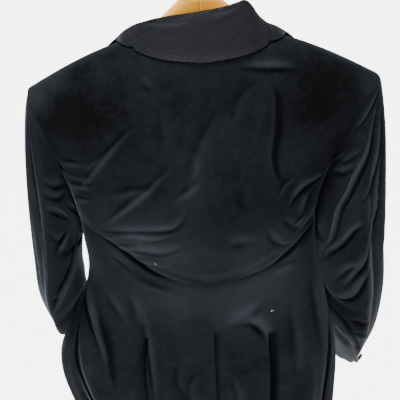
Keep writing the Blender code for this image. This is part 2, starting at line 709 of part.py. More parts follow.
def collar_point(side, along, row):
    """Places of the collar. Rows from 0 to 1 climb the stand, and from 1 to 2 the leaf falls."""
    along, row = np.broadcast_arrays(np.asarray(along, float), np.asarray(row, float))
    behind = (along <= COLLAR_TURN)[..., None]
    share = np.clip(along / COLLAR_TURN, -1, 1)
    down = collar_down(along)
    edge_across = front_edge(down)
    base = np.where(behind, top_edge(side, NECK_ACROSS * share), body(side, FRONT, edge_across, down))
    turn = share * math.pi / 2
    neck_away = points(side * np.sin(turn), np.cos(turn), np.zeros_like(turn))
    chest_away = outward(body, side, FRONT, edge_across, np.maximum(down, CHEST_FROM))
    on_chest = smooth(0.0, CHEST_TURN, down)[..., None]
    away = np.where(behind, neck_away, unit(points(side, 0, 0) * (1 - on_chest) + chest_away * on_chest))
    flat = smooth(COLLAR_TURN + FLATTEN[0], COLLAR_TURN + FLATTEN[1], along)[..., None]
    rise = unit(np.array((0, 0, 1.0)) * (1 - flat) + away * flat)
    ahead = body(side, FRONT, edge_across + AHEAD_STEP, down)
    beyond = unit(ahead - body(side, FRONT, edge_across, down))
    foot = base + rise * COLLAR_FOOT_GAP + np.where(behind, 0.0, beyond * ROLL_BEYOND * flat)
    lift = ramp(COLLAR_LIFT, "along", side_name(side), along)[..., None]
    roll = foot + rise * lift
    climb = np.clip(row, 0, 1)[..., None]
    stand = foot + (roll - foot) * climb - away * STAND_HOLLOW * np.sin(math.pi * climb) * (1 - flat)
    leaf_down = np.maximum(LEAF_BACK_DOWN * (1 - abs(share) ** LEAF_BACK_POWER), 0.001)
    edge_back = body_layer(side, BACK, LEAF_CROSS_ACROSS * share, leaf_down, LEAF_LIFT)
    edge_front = body_layer(side, FRONT, ramp(LEAF_EDGE, "down", "across", down), down, LEAF_LIFT)
    edge = np.where(behind, edge_back, edge_front)
    fall = edge - roll
    length = np.linalg.norm(fall, axis=-1, keepdims=True)
    leave = (rise * ROLL_RISE + away) * ROLL_ROUND * (1 - flat)
    leave = leave + (fall * LEAF_PULL + away * LEAF_SPRING) * flat
    drop = (np.array((0, 0, -LEAF_DROP)) + away * LEAF_OUT) * length
    arrive = drop * (1 - flat) + fall * LEAF_PULL * flat
    leaf = hermite(roll, edge, leave, arrive, np.clip(row - 1, 0, 1)[..., None])
    return np.where(row[..., None] <= 1, stand, leaf)


def collar_outward(side, along, row):
    """The direction out of the collar's cloth, away from what it lies on."""
    nearer = collar_point(side, along - ACROSS_STEP, row)
    ahead = collar_point(side, np.minimum(along + ACROSS_STEP, 1), row) - nearer
    lower = collar_point(side, along, np.maximum(row - ROW_STEP, 0))
    over = collar_point(side, along, np.minimum(row + ROW_STEP, 2)) - lower
    return unit(np.cross(ahead, over) * side)


def make_collar(side):
    """One half of the shawl collar, from the centre back seam to its end at the waist."""
    along, row = np.meshgrid(stations(COLLAR_START, COLLAR_COLUMNS), stations(0, COLLAR_ROWS), indexing="ij")
    outer = collar_point(side, along, row)
    inner = outer - collar_outward(side, along, row) * COLLAR_WALL
    return grid_wall(f"collar_{side_name(side)}", outer, inner, SILK)


def disc_button(name, place, normal, radius):
    """A round covered button with soft edges, standing just off the cloth."""
    mesh = bpy.data.meshes.new(name)
    form = bmesh.new()
    bmesh.ops.create_cone(form, cap_ends=True, segments=BUTTON_SIDES, radius1=radius, radius2=radius,
                          depth=BUTTON_HEIGHT)
    form.to_mesh(mesh)
    form.free()
    button = add_object(name, mesh, SILK)
    edge = button.modifiers.new("soft edge", "BEVEL")
    edge.width = BUTTON_EDGE
    edge.segments = 1
    button.rotation_euler = Vector(normal).to_track_quat("Z", "Y").to_euler()
    button.location = place + normal * (BUTTON_HEIGHT / 2 + BUTTON_GAP)
    return button


def make_buttons(side):
    """The forepart's three buttons and the cuff's two."""
    for k, row in enumerate(FRONT_BUTTONS, 1):
        across = np.array([row["across"]])
        down = np.array([row["down"]])
        place = body(side, FRONT, across, down)[0]
        normal = outward(body, side, FRONT, across, down)[0]
        disc_button(f"front_button_{side_name(side)}_{k}", place, normal, FRONT_BUTTON_RADIUS)
    for k, along in enumerate(CUFF_BUTTONS, 1):
        share = np.array([CUFF_BUTTON_ROUND[side]])
        spot = np.array([along])
        place = sleeve(side, share, spot)[0]
        normal = sleeve_outward(sleeve, side, share, spot)[0]
        disc_button(f"cuff_button_{side_name(side)}_{k}", place, normal, CUFF_BUTTON_RADIUS)


def arm_top(x):
    """The top of the hanger's arm: a free neck, then just under the shoulder's cloth."""
    share = np.clip((x - NECK_X) / (TIP_X - NECK_X), 0, 1)
    under_cloth = shoulder_height(share) - WALL - ARM_CLEAR - ARM_DIP * smooth(*ARM_END_ROUND, x)
    on_shoulder = smooth(*ARM_MEETS_CLOTH, x)
    return ramp(ARM_SECTIONS, "x", "z", x) * (1 - on_shoulder) + under_cloth * on_shoulder


def make_hanger_arm(side):
    """One wooden half of the hanger, from the joint in the middle to its round end."""
    mesh = bpy.data.meshes.new("arm")
    form = bmesh.new()
    rings = []
    turns = np.linspace(0, 2 * math.pi, ARM_SIDES, endpoint=False)
    for x in stations(ARM_START, ARM_STRETCHES):
        top = arm_top(x)
        middle_y = ramp(ARM_SECTIONS, "x", "y", x)
        half_y = ramp(ARM_SECTIONS, "x", "half_y", x)
        height = ramp(ARM_SECTIONS, "x", "height", x)
        middle = top - height / 2
        ring = []
        for turn in turns:
            y = middle_y + half_y * np.sign(math.cos(turn)) * abs(math.cos(turn)) ** ARM_POWER
            z = middle + height / 2 * np.sign(math.sin(turn)) * abs(math.sin(turn)) ** ARM_POWER
            ring.append(form.verts.new((side * x, y, z)))
        rings.append(ring)
    for near, far in zip(rings, rings[1:]):
        for k in range(ARM_SIDES):
            m = (k + 1) % ARM_SIDES
            form.faces.new([near[k], near[m], far[m], far[k]])
    form.faces.new(rings[0])
    form.faces.new(rings[-1])
    bmesh.ops.recalc_face_normals(form, faces=form.faces)
    form.to_mesh(mesh)
    form.free()
    add_object(f"hanger_arm_{side_name(side)}", mesh, WOOD)


def make_hook():
    """The wire hook: a stem up from the wood, and a round bend that hangs over the rail."""
    curve = bpy.data.curves.new("hook", "CURVE")
    curve.dimensions = "3D"
    curve.bevel_depth = WIRE_RADIUS
    curve.bevel_resolution = 2
    curve.use_fill_caps = True
    centre_z = -HOOK_RADIUS + WIRE_RADIUS
    stem_top = centre_z - HOOK_RADIUS - HOOK_NECK
    route = [(0, 0, HOOK_FOOT_Z), (0, 0, HOOK_FOOT_Z + HOOK_NECK), (0, 0, stem_top)]
    for turn in np.radians(np.linspace(HOOK_START_ANGLE, HOOK_END_ANGLE, HOOK_STEPS)):
        route.append((HOOK_RADIUS * math.sin(turn), 0, centre_z + HOOK_RADIUS * math.cos(turn)))
    spline = curve.splines.new("POLY")
    spline.points.add(len(route) - 1)
    for spot, place in zip(spline.points, route):
        spot.co = (*place, 1)
    guide = bpy.data.objects.new("hook guide", curve)
    bpy.context.scene.collection.objects.link(guide)
    shape = bpy.data.meshes.new_from_object(guide.evaluated_get(bpy.context.evaluated_depsgraph_get()))
    bpy.data.objects.remove(guide)
    form = bmesh.new()
    form.from_mesh(shape)
    bmesh.ops.remove_doubles(form, verts=form.verts, dist=1e-5)
    form.to_mesh(shape)
    form.free()
    add_object("hanger_hook", shape, STEEL)


def main():
    for thing in list(bpy.data.objects):
        bpy.data.objects.remove(thing)
    coat = bpy.data.collections.new("tailcoat")
    bpy.context.scene.collection.children.link(coat)
    for side in (LEFT, RIGHT):
        make_back(side)
        make_side_body(side)
        make_forepart(side)
        make_skirt(side)
        make_sleeve(side)
        make_collar(side)
        make_buttons(side)
        make_hanger_arm(side)
    make_hook()


main()
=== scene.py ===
"""Looks of a black velvet evening tailcoat with a ribbed silk collar, hung on a wooden hanger.

Metres, +Z up. The coat's front faces -Y and its back +Y. The wearer's left is +X.
The origin is the seat inside the hanger's hook.

The body of the coat is one surface with two coordinates. Across: 0 is the centre back, 1 the
underarm and 2 the centre front. Down: 0 is the shoulder line and 1 the underarm, and from
there on each unit is one metre. Each cloth piece is a fine grid on that surface, with its
creases raised and sunk, and a wall under it.
"""
import math

import bpy
import numpy as np
from mathutils import Matrix, Vector


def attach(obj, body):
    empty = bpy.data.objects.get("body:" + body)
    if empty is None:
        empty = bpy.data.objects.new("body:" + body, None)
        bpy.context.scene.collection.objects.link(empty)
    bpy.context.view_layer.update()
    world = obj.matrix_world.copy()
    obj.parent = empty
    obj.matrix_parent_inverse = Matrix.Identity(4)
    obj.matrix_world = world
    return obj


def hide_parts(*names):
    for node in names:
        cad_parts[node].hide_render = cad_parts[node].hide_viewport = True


bl_info = {
    "name": "Velvet tailcoat",
    "version": (1, 0, 0),
    "blender": (4, 5, 0),
    "location": "View3D > Sidebar > Tailcoat",
    "description": "Builds the cloth, buttons, hanger and stage of a velvet tailcoat",
    "category": "Object",
}

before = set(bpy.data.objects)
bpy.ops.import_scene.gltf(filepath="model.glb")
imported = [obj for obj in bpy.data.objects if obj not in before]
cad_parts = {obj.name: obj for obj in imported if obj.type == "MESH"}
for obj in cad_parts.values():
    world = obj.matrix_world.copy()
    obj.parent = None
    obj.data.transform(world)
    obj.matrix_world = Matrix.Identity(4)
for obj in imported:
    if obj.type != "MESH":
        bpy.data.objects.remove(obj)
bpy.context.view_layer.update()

BODY = "root"
LEFT = 1
RIGHT = -1
SIDES = (LEFT, RIGHT)
BACK = "back"
FRONT = "front"

# Walls. The pieces lap by a hair at their seams, so that no light shows through them
WALL = 0.0018
SEAM_LAP = 0.0004
ARMHOLE_LAP = 0.0010
SHOULDER_START = 0.0
LAYER_GAP = 0.0042
STEP = 0.0005
DOWN_STEP = 0.002
ACROSS_STEP = 0.004
ROUND_STEP = 0.003

# Heights below the hook's seat
NAPE_Z = -0.128
UNDERARM_Z = -0.412
WAIST = 1.133
FLAP_END = 1.304
TAIL_END = 1.753

# Shoulder line
NECK = (0.086, 0.008, -0.131)
TIP = (0.235, -0.002, -0.199)
SHOULDER_CROWN = 0.005
NAPE_Y = 0.052
NECK_ACROSS = 0.36
FRONT_NECK_ACROSS = 1.62
PIT_Y = -0.052
PIT_Z = -0.215

# Body sections: height, half width on each side, depth behind and before the middle
SECTIONS = [
    {"z": -1.170, "left": 0.178, "right": 0.170, "back": 0.084, "front": 0.066},
    {"z": -0.860, "left": 0.203, "right": 0.181, "back": 0.090, "front": 0.070},
    {"z": -0.720, "left": 0.204, "right": 0.176, "back": 0.090, "front": 0.070},
    {"z": -0.600, "left": 0.229, "right": 0.181, "back": 0.086, "front": 0.067},
    {"z": -0.530, "left": 0.198, "right": 0.168, "back": 0.082, "front": 0.065},
    {"z": -0.470, "left": 0.176, "right": 0.155, "back": 0.080, "front": 0.064},
    {"z": -0.412, "left": 0.179, "right": 0.150, "back": 0.080, "front": 0.062},
]
SECTION_POWER = 0.85

# How the yoke leaves its top edge: where across, how far out, how far down
TOP_TANGENTS = [
    {"across": 0.00, "out": 0.050, "down": 0.240},
    {"across": 0.20, "out": 0.120, "down": 0.200},
    {"across": 0.36, "out": 0.250, "down": 0.000},
    {"across": 0.70, "out": 0.270, "down": 0.000},
    {"across": 1.00, "out": 0.200, "down": 0.000},
    {"across": 1.30, "out": 0.210, "down": 0.000},
    {"across": 1.62, "out": 0.170, "down": 0.000},
    {"across": 2.00, "out": 0.060, "down": 0.120},
]

# Seams and edges of the body: where across at each height down
BACK_SEAM = [
    {"down": 0.000, "across": 1.000},
    {"down": 0.560, "across": 1.000},
    {"down": 0.800, "across": 0.680},
    {"down": 1.000, "across": 0.440},
    {"down": 1.133, "across": 0.250},
    {"down": 1.300, "across": 0.232},
    {"down": 1.758, "across": 0.220},
]
SIDE_SEAM = [
    {"down": 0.000, "left": 1.000, "right": 1.000},
    {"down": 1.000, "left": 1.000, "right": 1.000},
    {"down": 1.068, "left": 0.920, "right": 0.940},
    {"down": 1.133, "left": 0.780, "right": 0.860},
    {"down": 1.200, "left": 0.660, "right": 0.780},
    {"down": 1.310, "left": 0.580, "right": 0.740},
]
FRONT_EDGE = [
    {"down": 0.000, "across": 1.620},
    {"down": 0.500, "across": 1.660},
    {"down": 1.000, "across": 1.780},
    {"down": 1.150, "across": 1.830},
    {"down": 1.310, "across": 1.720},
]
SKIRT_EDGE = [
    {"down": 1.133, "across": 1.200},
    {"down": 1.250, "across": 1.120},
    {"down": 1.450, "across": 0.900},
    {"down": 1.758, "across": 0.640},
]
SIDE_BODY_START = 0.620
UNDERLAP = 0.10
VENT_UNDERLAP = 0.12
VENT_DEPTH = 0.0070
VENT_OPENS = 0.02
VENT_SINKS = (-0.010, 0.003)
VENT_STEP = (-0.010, 0.060)
PLEAT_WIDTH = 0.07
FLAP_WIDTH = (0.07, 0.01)
FLAP_FREE = (0.005, 0.050)
# At the waist seam the pleat and the flap are sewn, so the skirt turns under them sharply there
SEWN_SHARE = 0.22
SEWN_LENGTH = 0.050
PLEAT_LIP = {LEFT: 0.0010, RIGHT: 0.0050}
PLEAT_LIP_WIDTH = 0.045
# Painted shade: the pile is painted darker in the depth of the pleats, where the back laps over the skirt
PLEAT_PAINTED_SHADE = {LEFT: 0.5, RIGHT: 1.5}
PLEAT_PAINTED_SHADE_WIDTH = {LEFT: 0.040, RIGHT: 0.070}

# Rows that all the body's pieces share, closest where the waist folds lie
BODY_STRETCHES = [
    {"to": SIDE_BODY_START, "steps": 66},
    {"to": 1.000, "steps": 50},
    {"to": WAIST, "steps": 58},
    {"to": FLAP_END, "steps": 50},
    {"to": TAIL_END, "steps": 96},
]

# Large folds on the back, as lines through x and z
WAIST_FOLD = [(0.178, -0.385), (0.120, -0.416), (0.070, -0.446), (0.005, -0.463), (-0.053, -0.452),
              (-0.110, -0.422), (-0.146, -0.390)]
WAIST_RISE = [(x, z + 0.027) for x, z in WAIST_FOLD]
SECOND_FOLD = [(0.160, -0.375), (0.110, -0.390), (0.060, -0.392)]
LARGE_FOLDS = [
    {"line": WAIST_FOLD, "half_width": 0.010, "height": -0.0062},
    {"line": WAIST_RISE, "half_width": 0.017, "height": 0.0085},
    {"line": SECOND_FOLD, "half_width": 0.010, "height": -0.0030},
    {"line": [(0.105, -0.235), (0.165, -0.330)], "half_width": 0.012, "height": 0.0035},
    {"line": [(0.060, -0.315), (0.130, -0.375)], "half_width": 0.011, "height": 0.0040},
    {"line": [(-0.030, -0.245), (0.035, -0.350)], "half_width": 0.012, "height": 0.0035},
    {"line": [(-0.100, -0.220), (-0.096, -0.300), (-0.120, -0.365)],
     "half_width": 0.009, "height": -0.0045},
]
FADE_SIDE = 0.86
FADE_TOP = (0.05, 0.20)
FADE_WAIST = (1.12, 1.14)
FADE_ENDS = 0.25

# Creases of the back, as lines through x and z. Each is a ridge with a shallow trough beside it
BACK_CREASES = [
    {"line": [(0.176, -0.387), (0.123, -0.408), (0.070, -0.446), (0.016, -0.466)],
     "half_width": 0.0036, "height": 0.0024},
    {"line": [(-0.025, -0.461), (-0.081, -0.441), (-0.130, -0.408), (-0.147, -0.397)],
     "half_width": 0.0036, "height": 0.0026},
    {"line": [(0.145, -0.401), (0.117, -0.421), (0.084, -0.446), (0.057, -0.456)],
     "half_width": 0.0030, "height": -0.0012},
    {"line": [(0.138, -0.421), (0.111, -0.446), (0.077, -0.466), (0.036, -0.476)],
     "half_width": 0.0045, "height": -0.0016},
    {"line": [(0.142, -0.412), (0.122, -0.432), (0.100, -0.450)], "half_width": 0.0026, "height": 0.0014},
    {"line": [(0.155, -0.385), (0.122, -0.381), (0.065, -0.379), (0.041, -0.371), (0.027, -0.348)],
     "half_width": 0.0036, "height": 0.0020},
    {"line": [(0.145, -0.401), (0.108, -0.391), (0.073, -0.394), (0.043, -0.388)],
     "half_width": 0.0034, "height": 0.0018},
    {"line": [(0.126, -0.412), (0.095, -0.407), (0.061, -0.410), (0.030, -0.402)],
     "half_width": 0.0036, "height": 0.0018},
    {"line": [(0.085, -0.231), (0.111, -0.255), (0.133, -0.280), (0.156, -0.310), (0.177, -0.336)],
     "half_width": 0.0034, "height": 0.0020},
    {"line": [(0.059, -0.303), (0.075, -0.321), (0.097, -0.339), (0.122, -0.361), (0.148, -0.382)],
     "half_width": 0.0036, "height": 0.0022},
    {"line": [(0.000, -0.303), (0.016, -0.320), (0.029, -0.330), (0.048, -0.342)],
     "half_width": 0.0044, "height": 0.0017},
    {"line": [(0.021, -0.269), (0.013, -0.296), (0.024, -0.323)], "half_width": 0.0040, "height": 0.0006},
    {"line": [(0.075, -0.321), (0.103, -0.329), (0.131, -0.334)], "half_width": 0.0050, "height": 0.0014},
    {"line": [(0.080, -0.174), (0.062, -0.191)], "half_width": 0.0040, "height": 0.0010},
    {"line": [(0.157, -0.292), (0.180, -0.295), (0.198, -0.297)], "half_width": 0.0034, "height": 0.0018},
    {"line": [(0.150, -0.309), (0.173, -0.314), (0.196, -0.312)], "half_width": 0.0030, "height": 0.0014},
    {"line": [(0.146, -0.321), (0.173, -0.328), (0.192, -0.330)], "half_width": 0.0032, "height": 0.0018},
    {"line": [(0.156, -0.345), (0.175, -0.349), (0.186, -0.347)], "half_width": 0.0032, "height": 0.0018},
    {"line": [(-0.089, -0.190), (-0.094, -0.209), (-0.093, -0.249),
              (-0.088, -0.283), (-0.092, -0.311), (-0.102, -0.329)],
     "half_width": 0.0038, "height": -0.0020},
    {"line": [(-0.070, -0.188), (-0.054, -0.201), (-0.046, -0.213), (-0.036, -0.245)],
     "half_width": 0.0050, "height": 0.0009},
    {"line": [(-0.049, -0.165), (-0.073, -0.166), (-0.098, -0.167), (-0.124, -0.172)],
     "half_width": 0.0040, "height": 0.0026},
    {"line": [(-0.107, -0.362), (-0.117, -0.346), (-0.129, -0.333), (-0.151, -0.328), (-0.170, -0.322)],
     "half_width": 0.0036, "height": 0.0030},
    {"line": [(-0.124, -0.378), (-0.131, -0.355), (-0.140, -0.343)],
     "half_width": 0.0034, "height": 0.0022},
    {"line": [(-0.079, -0.386), (-0.088, -0.400), (-0.102, -0.410), (-0.120, -0.416)],
     "half_width": 0.0042, "height": 0.0020},
    {"line": [(-0.100, -0.372), (-0.112, -0.384), (-0.128, -0.392)],
     "half_width": 0.0040, "height": 0.0014},
    {"line": [(-0.125, -0.451), (-0.102, -0.451), (-0.079, -0.461)],
     "half_width": 0.0050, "height": 0.0014},
    {"line": [(-0.020, -0.403), (-0.040, -0.399), (-0.071, -0.403)],
     "half_width": 0.0060, "height": 0.0014},
    {"line": [(-0.016, -0.531), (-0.045, -0.511), (-0.077, -0.491)],
     "half_width": 0.0080, "height": 0.0018},
    {"line": [(-0.037, -0.528), (-0.054, -0.523), (-0.071, -0.537), (-0.079, -0.562)],
     "half_width": 0.0060, "height": 0.0030},
    {"line": [(0.097, -0.500), (0.092, -0.540), (0.088, -0.580), (0.084, -0.690)],
     "half_width": 0.0040, "height": 0.0018},
    {"line": [(0.174, -0.452), (0.176, -0.501), (0.171, -0.526), (0.162, -0.556), (0.151, -0.600)],
     "half_width": 0.0050, "height": 0.0034},
    {"line": [(0.165, -0.506), (0.160, -0.541), (0.152, -0.571), (0.146, -0.640)],
     "half_width": 0.0050, "height": -0.0026},
    {"line": [(0.150, -0.486), (0.138, -0.494), (0.128, -0.510), (0.118, -0.530)],
     "half_width": 0.0050, "height": 0.0014},
    {"line": [(0.112, -0.478), (0.104, -0.500), (0.100, -0.530)], "half_width": 0.0060, "height": 0.0014},
    {"line": [(0.150, -0.398), (0.128, -0.400), (0.098, -0.397), (0.070, -0.400)],
     "half_width": 0.0030, "height": 0.0014},
    {"line": [(0.132, -0.409), (0.104, -0.415), (0.076, -0.420)], "half_width": 0.0028, "height": 0.0014},
    {"line": [(0.118, -0.424), (0.092, -0.428), (0.066, -0.432), (0.046, -0.428)],
     "half_width": 0.0032, "height": 0.0014},
    {"line": [(0.128, -0.436), (0.104, -0.452), (0.080, -0.464)], "half_width": 0.0028, "height": 0.0012},
    {"line": [(-0.140, -0.372), (-0.126, -0.384), (-0.108, -0.392)],
     "half_width": 0.0030, "height": 0.0016},
    {"line": [(-0.132, -0.424), (-0.110, -0.436), (-0.086, -0.446)],
     "half_width": 0.0030, "height": 0.0014},
    {"line": [(-0.118, -0.318), (-0.104, -0.330), (-0.092, -0.350)],
     "half_width": 0.0030, "height": 0.0014},
    {"line": [(0.120, -0.262), (0.146, -0.286), (0.164, -0.300)], "half_width": 0.0030, "height": 0.0012},
    {"line": [(0.040, -0.288), (0.058, -0.306), (0.070, -0.314)], "half_width": 0.0034, "height": 0.0008},
    {"line": [(-0.142, -0.470), (-0.152, -0.520), (-0.160, -0.600)],
     "half_width": 0.0060, "height": 0.0018},
    {"line": [(-0.112, -0.500), (-0.120, -0.560), (-0.122, -0.640)],
     "half_width": 0.0070, "height": 0.0012},
    {"line": [(-0.020, -0.220), (0.006, -0.270), (0.030, -0.330)], "half_width": 0.0060, "height": 0.0009},
    {"line": [(0.055, -0.210), (0.050, -0.250), (0.060, -0.290)], "half_width": 0.0060, "height": 0.0005},
    {"line": [(-0.060, -0.300), (-0.052, -0.340), (-0.064, -0.370)],
     "half_width": 0.0060, "height": 0.0006},
    {"line": [(0.020, -0.600), (0.034, -0.625), (0.028, -0.660)], "half_width": 0.0050, "height": 0.0009},
    {"line": [(0.044, -0.580), (0.050, -0.610), (0.040, -0.640)], "half_width": 0.0050, "height": 0.0009},
    {"line": [(-0.025, -0.610), (-0.035, -0.640), (-0.028, -0.670)],
     "half_width": 0.0050, "height": 0.0010},
    {"line": [(0.060, -0.760), (0.050, -0.860), (0.058, -0.980)], "half_width": 0.0080, "height": 0.0014},
    {"line": [(-0.050, -0.740), (-0.044, -0.860), (-0.052, -1.000)],
     "half_width": 0.0080, "height": 0.0014},
    {"line": [(0.130, -0.700), (0.124, -0.800), (0.130, -0.920)], "half_width": 0.0080, "height": 0.0018},
    {"line": [(-0.120, -0.720), (-0.112, -0.820), (-0.116, -0.950)],
     "half_width": 0.0080, "height": 0.0018},
]
# Creases of the foreparts, which the photo hides: long drags from the chest to the buttons
FRONT_CREASES = [
    {"line": [(0.185, -0.245), (0.160, -0.300), (0.120, -0.360)], "half_width": 0.0070, "height": 0.0018},
    {"line": [(0.165, -0.350), (0.130, -0.385), (0.095, -0.430)], "half_width": 0.0060, "height": 0.0022},
    {"line": [(0.170, -0.390), (0.140, -0.420), (0.105, -0.450)], "half_width": 0.0050, "height": 0.0020},
    {"line": [(0.168, -0.430), (0.135, -0.452), (0.100, -0.470)], "half_width": 0.0050, "height": -0.0016},
    {"line": [(0.200, -0.600), (0.175, -0.640), (0.160, -0.690)], "half_width": 0.0070, "height": 0.0018},
    {"line": [(0.150, -0.520), (0.130, -0.560), (0.120, -0.620)], "half_width": 0.0070, "height": 0.0014},
    {"line": [(-0.178, -0.250), (-0.150, -0.310), (-0.115, -0.370)],
     "half_width": 0.0070, "height": 0.0020},
    {"line": [(-0.150, -0.345), (-0.120, -0.385), (-0.085, -0.425)],
     "half_width": 0.0060, "height": 0.0022},
    {"line": [(-0.145, -0.395), (-0.120, -0.425), (-0.090, -0.455)],
     "half_width": 0.0050, "height": 0.0018},
    {"line": [(-0.150, -0.440), (-0.118, -0.460), (-0.090, -0.490)],
     "half_width": 0.0050, "height": -0.0016},
    {"line": [(-0.175, -0.590), (-0.150, -0.630), (-0.135, -0.690)],
     "half_width": 0.0070, "height": 0.0020},
    {"line": [(-0.130, -0.530), (-0.115, -0.580), (-0.105, -0.640)],
     "half_width": 0.0070, "height": 0.0014},
]

# Drape waves of the tails
TAIL_WAVES = [
    {"side": LEFT, "across": 0.16, "half_width": 0.05, "height": 0.004},
    {"side": LEFT, "across": 0.52, "half_width": 0.06, "height": 0.008},
    {"side": LEFT, "across": 0.66, "half_width": 0.04, "height": -0.006},
    {"side": LEFT, "across": 0.84, "half_width": 0.06, "height": 0.006},
    {"side": RIGHT, "across": 0.12, "half_width": 0.05, "height": 0.003},
    {"side": RIGHT, "across": 0.50, "half_width": 0.07, "height": 0.007},
    {"side": RIGHT, "across": 0.72, "half_width": 0.05, "height": -0.005},
    {"side": RIGHT, "across": 0.88, "half_width": 0.05, "height": 0.004},
]
WAVE_START = 1.13
WAVE_GROWTH = 0.18

# Sleeve sections: centre, half size across and front to back, and how far the ring tips forward
SLEEVE_SECTIONS = {
    LEFT: [
        {"along": 0.40, "x": 0.2175, "y": -0.004, "z": -0.420, "half_x": 0.035, "half_y": 0.084, "tilt": 4},
        {"along": 0.56, "x": 0.225, "y": -0.012, "z": -0.475, "half_x": 0.029, "half_y": 0.080, "tilt": 14},
        {"along": 0.70, "x": 0.2265, "y": -0.045, "z": -0.522, "half_x": 0.021, "half_y": 0.076, "tilt": 32},
        {"along": 0.85, "x": 0.2335, "y": -0.112, "z": -0.565, "half_x": 0.015, "half_y": 0.070, "tilt": 46},
        {"along": 1.00, "x": 0.2425, "y": -0.195, "z": -0.605, "half_x": 0.012, "half_y": 0.064, "tilt": 48},
    ],
    RIGHT: [
        {"along": 0.40, "x": -0.203, "y": -0.004, "z": -0.425, "half_x": 0.046, "half_y": 0.082, "tilt": 4},
        {"along": 0.56, "x": -0.212, "y": -0.012, "z": -0.495, "half_x": 0.043, "half_y": 0.078, "tilt": 12},
        {"along": 0.70, "x": -0.2165, "y": -0.040, "z": -0.555, "half_x": 0.038, "half_y": 0.073, "tilt": 26},
        {"along": 0.85, "x": -0.2215, "y": -0.105, "z": -0.625, "half_x": 0.033, "half_y": 0.068, "tilt": 38},
        {"along": 1.00, "x": -0.2270, "y": -0.190, "z": -0.700, "half_x": 0.030, "half_y": 0.064, "tilt": 40},
    ],
}
CAP_ALONG = 0.40
CAP_OUT = 0.055
UNDERARM_OUT = 0.012
CAP_DROP = 0.35
SLEEVE_STRETCHES = [
    {"to": CAP_ALONG, "steps": 76},
    {"to": 1.00, "steps": 92},
]
HIND_SEAM = 0.30
FORE_SEAM = 0.70
RIDGE_START = (0.04, 0.20)
RIDGE_END = (0.80, 1.00)
RIDGE_LOSS = 0.6
SLEEVE_WAVES = [
    {"side": LEFT, "round": 0.10, "half_width": 0.030, "height": 0.004},
    {"side": LEFT, "round": 0.18, "half_width": 0.030, "height": -0.003},
    {"side": RIGHT, "round": 0.08, "half_width": 0.030, "height": 0.005},
    {"side": RIGHT, "round": 0.16, "half_width": 0.026, "height": -0.005},
    {"side": RIGHT, "round": 0.24, "half_width": 0.030, "height": 0.005},
]
BEND_ROUND = 0.42
BEND_SPREAD = 0.16
SLEEVE_BENDS = [
    {"side": LEFT, "along": 0.36, "half_width": 0.025, "height": -0.004},
    {"side": LEFT, "along": 0.64, "half_width": 0.030, "height": -0.005},
    {"side": RIGHT, "along": 0.60, "half_width": 0.026, "height": -0.006},
    {"side": RIGHT, "along": 0.68, "half_width": 0.026, "height": 0.005},
    {"side": RIGHT, "along": 0.76, "half_width": 0.028, "height": -0.006},
]
